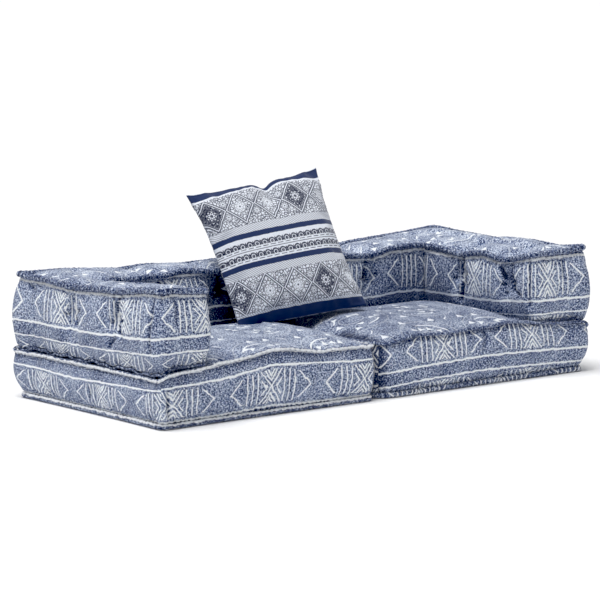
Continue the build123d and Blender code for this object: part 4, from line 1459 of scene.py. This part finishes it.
def foam_core(module, bolster):
    """A foam block cut to the cushion's plan, with eased edges and a little crown."""
    name = f"{module.name}_{'bolster' if bolster else 'seat'}"
    low, high = (corner[2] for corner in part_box(f"{name}_core"))
    high -= 0.014 if bolster else 0.008
    (plan, patches, rim), drawn = plan_of(module, bolster, FOAM_CELL)
    rows = ((low, 0.042), (low + 0.003, 0.037), (low + 0.011, 0.0345), ((low + high) / 2, 0.036),
            (high - 0.011, 0.0345), (high - 0.003, 0.037), (high, 0.042))
    gap, _ = clear_of(plan, plan[rim], 0.2)
    panel = drawn(plan, rows[0][1])
    bottom = np.column_stack([panel, np.full(len(plan), low)])
    top = np.column_stack([panel, high + 0.006 * arch(np.clip(gap / 0.16, 0, 0.5))])
    rings = [np.column_stack([drawn(plan, inset)[rim], np.full(len(rim), z)])
             for z, inset in rows[1:-1]]
    points = np.vstack([bottom, top] + rings)
    n, loops = len(plan), len(rim)
    levels = [list(rim), *([2 * n + r * loops + k for k in range(loops)]
                           for r in range(len(rings))), [n + k for k in rim]]
    faces = [patch[::-1] for patch in patches] + [tuple(n + i for i in patch) for patch in patches]
    for under, over in zip(levels, levels[1:]):
        faces += [(under[k], under[(k + 1) % loops], over[(k + 1) % loops], over[k])
                  for k in range(loops)]
    points[:, 0] = module.outer + module.side * points[:, 0]
    piece = new_piece(f"{name}_foam", points, faces)
    outward_faces(piece)
    finer(piece)
    return piece


def kept_inside(piece, skin, gap):
    """Draws a filling back wherever it comes nearer than a gap to the skin round it."""
    spots = points_of(piece)
    drawn_back = 0
    for i, spot in enumerate(spots):
        near, normal, _, _ = skin.find_nearest(Vector(spot))
        if (Vector(spot) - near).dot(normal) > -gap:
            spots[i] = near - normal * gap
            drawn_back += 1
    set_points(piece, spots)
    print(piece.name, "drawn back at", drawn_back, "points of", len(spots))


SKINS = {name: skin_of(piece) for name, piece in covers.items()}
foams = {f"{module.name}_{part}": foam_core(module, part == "bolster")
         for module in MODULES for part in ("seat", "bolster")}
for name, piece in foams.items():
    kept_inside(piece, SKINS[name], 0.004)
kept_inside(insert, skin_of(pillow), 0.003)

# %% [markdown]
# ## Twine, stitches and zip coil
# The tufting twine, the zip's coil and the stitches are all thread that follows a path. A
# geometry nodes tree turns the path into a curve, and sweeps a profile of three lobes along it
# while it turns, which is what three twisted strands look like. The second tree sets a small
# arch of thread on the path at every stitch, so that each one dips into the cloth at both ends.


# %% Thread trees
def thread_tree(name, settings):
    """A new geometry tree with its geometry sockets, and one named float input for each setting."""
    tree = bpy.data.node_groups.new(name, "GeometryNodeTree")
    tree.interface.new_socket("Geometry", in_out="INPUT", socket_type="NodeSocketGeometry")
    for setting in settings:
        tree.interface.new_socket(setting, in_out="INPUT", socket_type="NodeSocketFloat")
    tree.interface.new_socket("Material", in_out="INPUT", socket_type="NodeSocketMaterial")
    tree.interface.new_socket("Geometry", in_out="OUTPUT", socket_type="NodeSocketGeometry")
    return tree, add(tree, "NodeGroupInput").outputs


def closed(tree, made, given):
    """Ends a geometry tree: what it made becomes one mesh of the given material."""
    whole = add(tree, "GeometryNodeRealizeInstances", made)
    whole = add(tree, "GeometryNodeSetMaterial",
                sockets={"Geometry": whole.outputs[0], "Material": given["Material"]})
    add(tree, "NodeGroupOutput", whole.outputs[0])


twist, given = thread_tree("twisted thread", ("Radius", "Step", "Turns"))
path = add(twist, "GeometryNodeMeshToCurve", given["Geometry"])
path = add(twist, "GeometryNodeResampleCurve", mode="LENGTH",
           sockets={"Curve": path.outputs[0], "Length": given["Step"]})
length = add(twist, "GeometryNodeSplineParameter").outputs["Length"]
path = add(twist, "GeometryNodeSetCurveTilt",
           sockets={"Curve": path.outputs[0], "Tilt": reckon(twist, ("*", length, given["Turns"]))})
lobes = add(twist, "GeometryNodeCurveStar",
            sockets={"Points": 3, "Inner Radius": reckon(twist, ("*", given["Radius"], 0.62)),
                     "Outer Radius": given["Radius"]})
strand = add(twist, "GeometryNodeCurveToMesh",
             sockets={"Curve": path.outputs[0], "Profile Curve": lobes.outputs[0],
                      "Fill Caps": True})
closed(twist, strand.outputs[0], given)
print("twisted thread:", len(twist.nodes), "nodes")

# %% Row of stitches
sewing, given = thread_tree("row of stitches", ("Pitch", "Stitch", "Rise", "Thread"))
path = add(sewing, "GeometryNodeMeshToCurve", given["Geometry"])
spots = add(sewing, "GeometryNodeCurveToPoints", mode="LENGTH",
            sockets={"Curve": path.outputs[0], "Length": given["Pitch"]})
away = add(sewing, "GeometryNodeInputNamedAttribute", data_type="FLOAT_VECTOR",
           sockets={"Name": "away"})
turn = add(sewing, "FunctionNodeAlignRotationToVector", axis="X",
           sockets={"Vector": spots.outputs["Tangent"]})
turn = add(sewing, "FunctionNodeAlignRotationToVector", axis="Z", pivot_axis="X",
           sockets={"Rotation": turn.outputs[0], "Vector": away.outputs[0]})
half = reckon(sewing, ("*", given["Stitch"], 0.5))
ends = [add(sewing, "ShaderNodeCombineXYZ", reckon(sewing, x), 0.0, reckon(sewing, z)).outputs[0]
        for x, z in ((("*", half, -1.0), ("*", given["Rise"], -0.6)),
                     (0.0, ("*", given["Rise"], 2.2)), (half, ("*", given["Rise"], -0.6)))]
bend = add(sewing, "GeometryNodeCurveQuadraticBezier", 4, *ends)
round_thread = add(sewing, "GeometryNodeCurvePrimitiveCircle",
                   sockets={"Resolution": 5, "Radius": given["Thread"]})
stitch = add(sewing, "GeometryNodeCurveToMesh",
             sockets={"Curve": bend.outputs[0], "Profile Curve": round_thread.outputs[0],
                      "Fill Caps": True})
uneven = add(sewing, "FunctionNodeRandomValue", data_type="FLOAT",
             sockets={2: 0.8, 3: 1.15, "Seed": 5})
rowed = add(sewing, "GeometryNodeInstanceOnPoints",
            sockets={"Points": spots.outputs[0], "Instance": stitch.outputs[0],
                     "Rotation": turn.outputs[0], "Scale": uneven.outputs[1]})
closed(sewing, rowed.outputs[0], given)
print("row of stitches:", len(sewing.nodes), "nodes")


def run_tree(name, tree, paths, values, away=None):
    """Feeds paths of points to a thread tree and keeps what it makes as a plain mesh."""
    edges, start = [], 0
    for path in paths:
        edges += [(start + k, start + k + 1) for k in range(len(path) - 1)]
        start += len(path)
    holder = new_piece(name, np.vstack(paths), [], edges=edges)
    if away is not None:
        notes = holder.data.attributes.new("away", "FLOAT_VECTOR", "POINT")
        notes.data.foreach_set("vector", np.vstack(away).astype(np.float32).ravel())
    maker = holder.modifiers.new("thread", "NODES")
    maker.node_group = tree
    for socket in tree.interface.items_tree:
        if socket.in_out == "INPUT" and socket.name in values:
            maker[socket.identifier] = values[socket.name]
    keep_made(holder)
    print(name, len(holder.data.polygons), "faces")
    return holder


# %% Twine, thread and zip finishes
def strands(name, dark, pale, grain, rough, depth):
    """A spun thread's finish: two shades in fine bands, and their relief."""
    made, tree, shader = material(name)
    place = add(tree, "ShaderNodeTexCoord").outputs["Object"]
    fleck = add(tree, "ShaderNodeTexNoise", place, None, grain, 3.0, 0.6)
    tone = add(tree, "ShaderNodeMix", **COLOURS,
               sockets={0: fleck.outputs[0], 6: ink(dark), 7: ink(pale)})
    cloth_shader(tree, shader, tone.outputs[2], fleck.outputs[0], depth)
    shader.inputs["Roughness"].default_value = rough
    return made


# Waxed cotton twine is grey with a low shine where the wax lies.
twine = strands("waxed cotton twine", "#6f7890", "#b9c0cf", 900.0, 0.6, 0.0003)
# Polyester sewing thread is even and slightly bright, so a row of it reads as fine dots.
thread = strands("polyester sewing thread", "#98a3bd", "#d5dbe7", 1500.0, 0.5, 0.0001)
# A zip tape is woven polyester: matt and navy, with ribs finer than a millimetre.
tape = strands("woven polyester tape", "#182244", "#2c3a66", 1800.0, 0.85, 0.0002)
# Extruded nylon coil is smooth navy plastic with a soft shine.
coil_nylon = strands("extruded nylon coil", "#1b2650", "#2a3769", 700.0, 0.35, 0.00005)
# The slider is die-cast zinc under navy paint, worn to a satin.
painted = strands("painted die-cast zinc", "#1d2851", "#313f70", 500.0, 0.3, 0.00004)
painted_shader = painted.node_tree.nodes["Principled BSDF"]
painted_shader.inputs["Sheen Weight"].default_value = 0.0
painted_shader.inputs["Coat Weight"].default_value = 0.4

# %% Ties through the bolsters
UP = Vector((0, 0, 1))
KNOT, TIE_UP = 0.0026, 0.287


def knot_path(spot, way):
    """A small round knot at a tie's end: two turns of twine about it, drawn tight."""
    side = way.cross(UP).normalized()
    return [tuple(spot + way * (0.0012 * math.sin(t / 2))
                  + (side * math.cos(t) + UP * math.sin(t)) * KNOT)
            for t in np.linspace(0, 4 * math.pi, 33)]


def ties_of(module):
    """The twine of one bolster: straight through the foam, with a knot in each dimple."""
    skin = SKINS[f"{module.name}_bolster"]
    paths = []
    middles = [((module.arm / 2, t), Vector((1, 0, 0))) for t in module.arm_tufts]
    middles += [((t, (BACK_FRONT + REAR) / 2), Vector((0, 1, 0))) for t in module.back_tufts]
    for (u, v), way in middles:
        middle = Vector((module.outer + module.side * u, v, TIE_UP))
        ends = []
        for sign in (-1, 1):
            hit = skin.ray_cast(middle, way * sign)[0]
            ends.append(hit + way * sign * 0.0006)
            paths.append(knot_path(hit + way * sign * 0.0018, way * sign))
        paths.append([tuple(ends[0].lerp(ends[1], k / 24)) for k in range(25)])
    return run_tree(f"{module.name}_twine", twist, paths,
                    {"Radius": 0.0013, "Step": 0.0016, "Turns": 700.0, "Material": twine})


ties = {module.name: ties_of(module) for module in MODULES}

# %% Stitches along the rolls
SEWN = {"Pitch": 0.0115, "Stitch": 0.0068, "Rise": 0.0006, "Thread": 0.00055, "Material": thread}
stitch_rows = {}
for module in MODULES:
    for part, row, lift in (("bolster", -1, -0.006), ("seat", 0, 0.0015)):
        name = f"{module.name}_{part}"
        path = along_closed(seam_path(module, cuts[name], row, lift, 0.02)[0], 0.004)[0]
        spots, away = [], []
        for point in path:
            spot, normal, _, _ = SKINS[name].find_nearest(Vector(point))
            spots.append(tuple(spot + normal * 0.0002))
            away.append(tuple(normal))
        stitch_rows[name] = run_tree(f"{name}_stitches", sewing, [spots], SEWN, [away])

# %% Zip coil
TEETH = 226  # in each row, with eight points to a turn of the coil
turns = np.linspace(0, 1, 8 * TEETH + 1)
angle = turns * 2 * math.pi * TEETH
rows = [pillow_place(np.column_stack([-0.1699 + 0.3398 * turns, ZIP_UP + 0.00045 * np.cos(angle),
                                      side * (0.00085 + 0.0005 * np.sin(angle))]))
        for side in (-1, 1)]
coil = run_tree("zip_coil", twist, rows,
                {"Radius": 0.00028, "Step": 0.0006, "Turns": 0.0, "Material": coil_nylon})
for node, finish in (("pillow_zip_tapes", tape), ("pillow_zip_stops", coil_nylon),
                     ("pillow_zip_slider", painted), ("pillow_zip_pull", painted)):
    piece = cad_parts[node]
    if not piece.material_slots:
        piece.data.materials.append(finish)
    for slot in piece.material_slots:
        slot.material = finish

# %% [markdown]
# ## Finishes, and what each piece rides on
# Each cover has two cloths: the strip on its sides and the rug on its top. Every piece also says
# which body of the imported sofa it moves with, and which imported piece it stands in for. The
# stitches stand in for nothing, because the imported sofa has none.

# %% Finishes and riding
for piece in (*covers.values(), *rolls.values()):
    piece.data.materials.append(woven)
for piece in covers.values():
    piece.data.materials.append(rug)
pillow.data.materials.append(printed)
for piece in foams.values():
    piece.data.materials.append(foam)
# The inner bag is plain white cambric, which is matt and has no pattern to show.
cambric = strands("white cambric bag", "#e4e3df", "#f6f5f2", 1200.0, 0.9, 0.0002)
insert.data.materials.append(cambric)


def rides(piece, body, node=None):
    """Lets a piece ride on a body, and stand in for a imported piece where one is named."""
    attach(piece, body)
    if node:
        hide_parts(node)


PACKED = {"seat_top": "seat_top_welt", "seat_bottom": "seat_bottom_roll",
          "bolster_bottom": "bolster_bottom_welt", "bolster_top": "bolster_top_welt"}
for module in MODULES:
    for name in (f"{module.name}_seat", f"{module.name}_bolster"):
        rides(covers[name], name, f"{name}_cover")
    for name, node in PACKED.items():
        body = f"{module.name}_{name.split('_')[0]}"
        rides(rolls[f"{module.name}_{name}"], body, f"{module.name}_{node}")
for module in MODULES:
    for name in (f"{module.name}_seat", f"{module.name}_bolster"):
        rides(foams[name], name, f"{name}_core")
        rides(stitch_rows[name], name)
    body = f"{module.name}_bolster"
    rides(ties[module.name], body, f"{body}_ties")
rides(insert, "pillow", "pillow_insert")
rides(coil, "pillow", "pillow_zip_teeth")
rides(pillow, "pillow", "pillow_cover")
print("pieces that ride:", 4 + len(rolls) + len(foams) + len(stitch_rows) + len(ties) + 3)
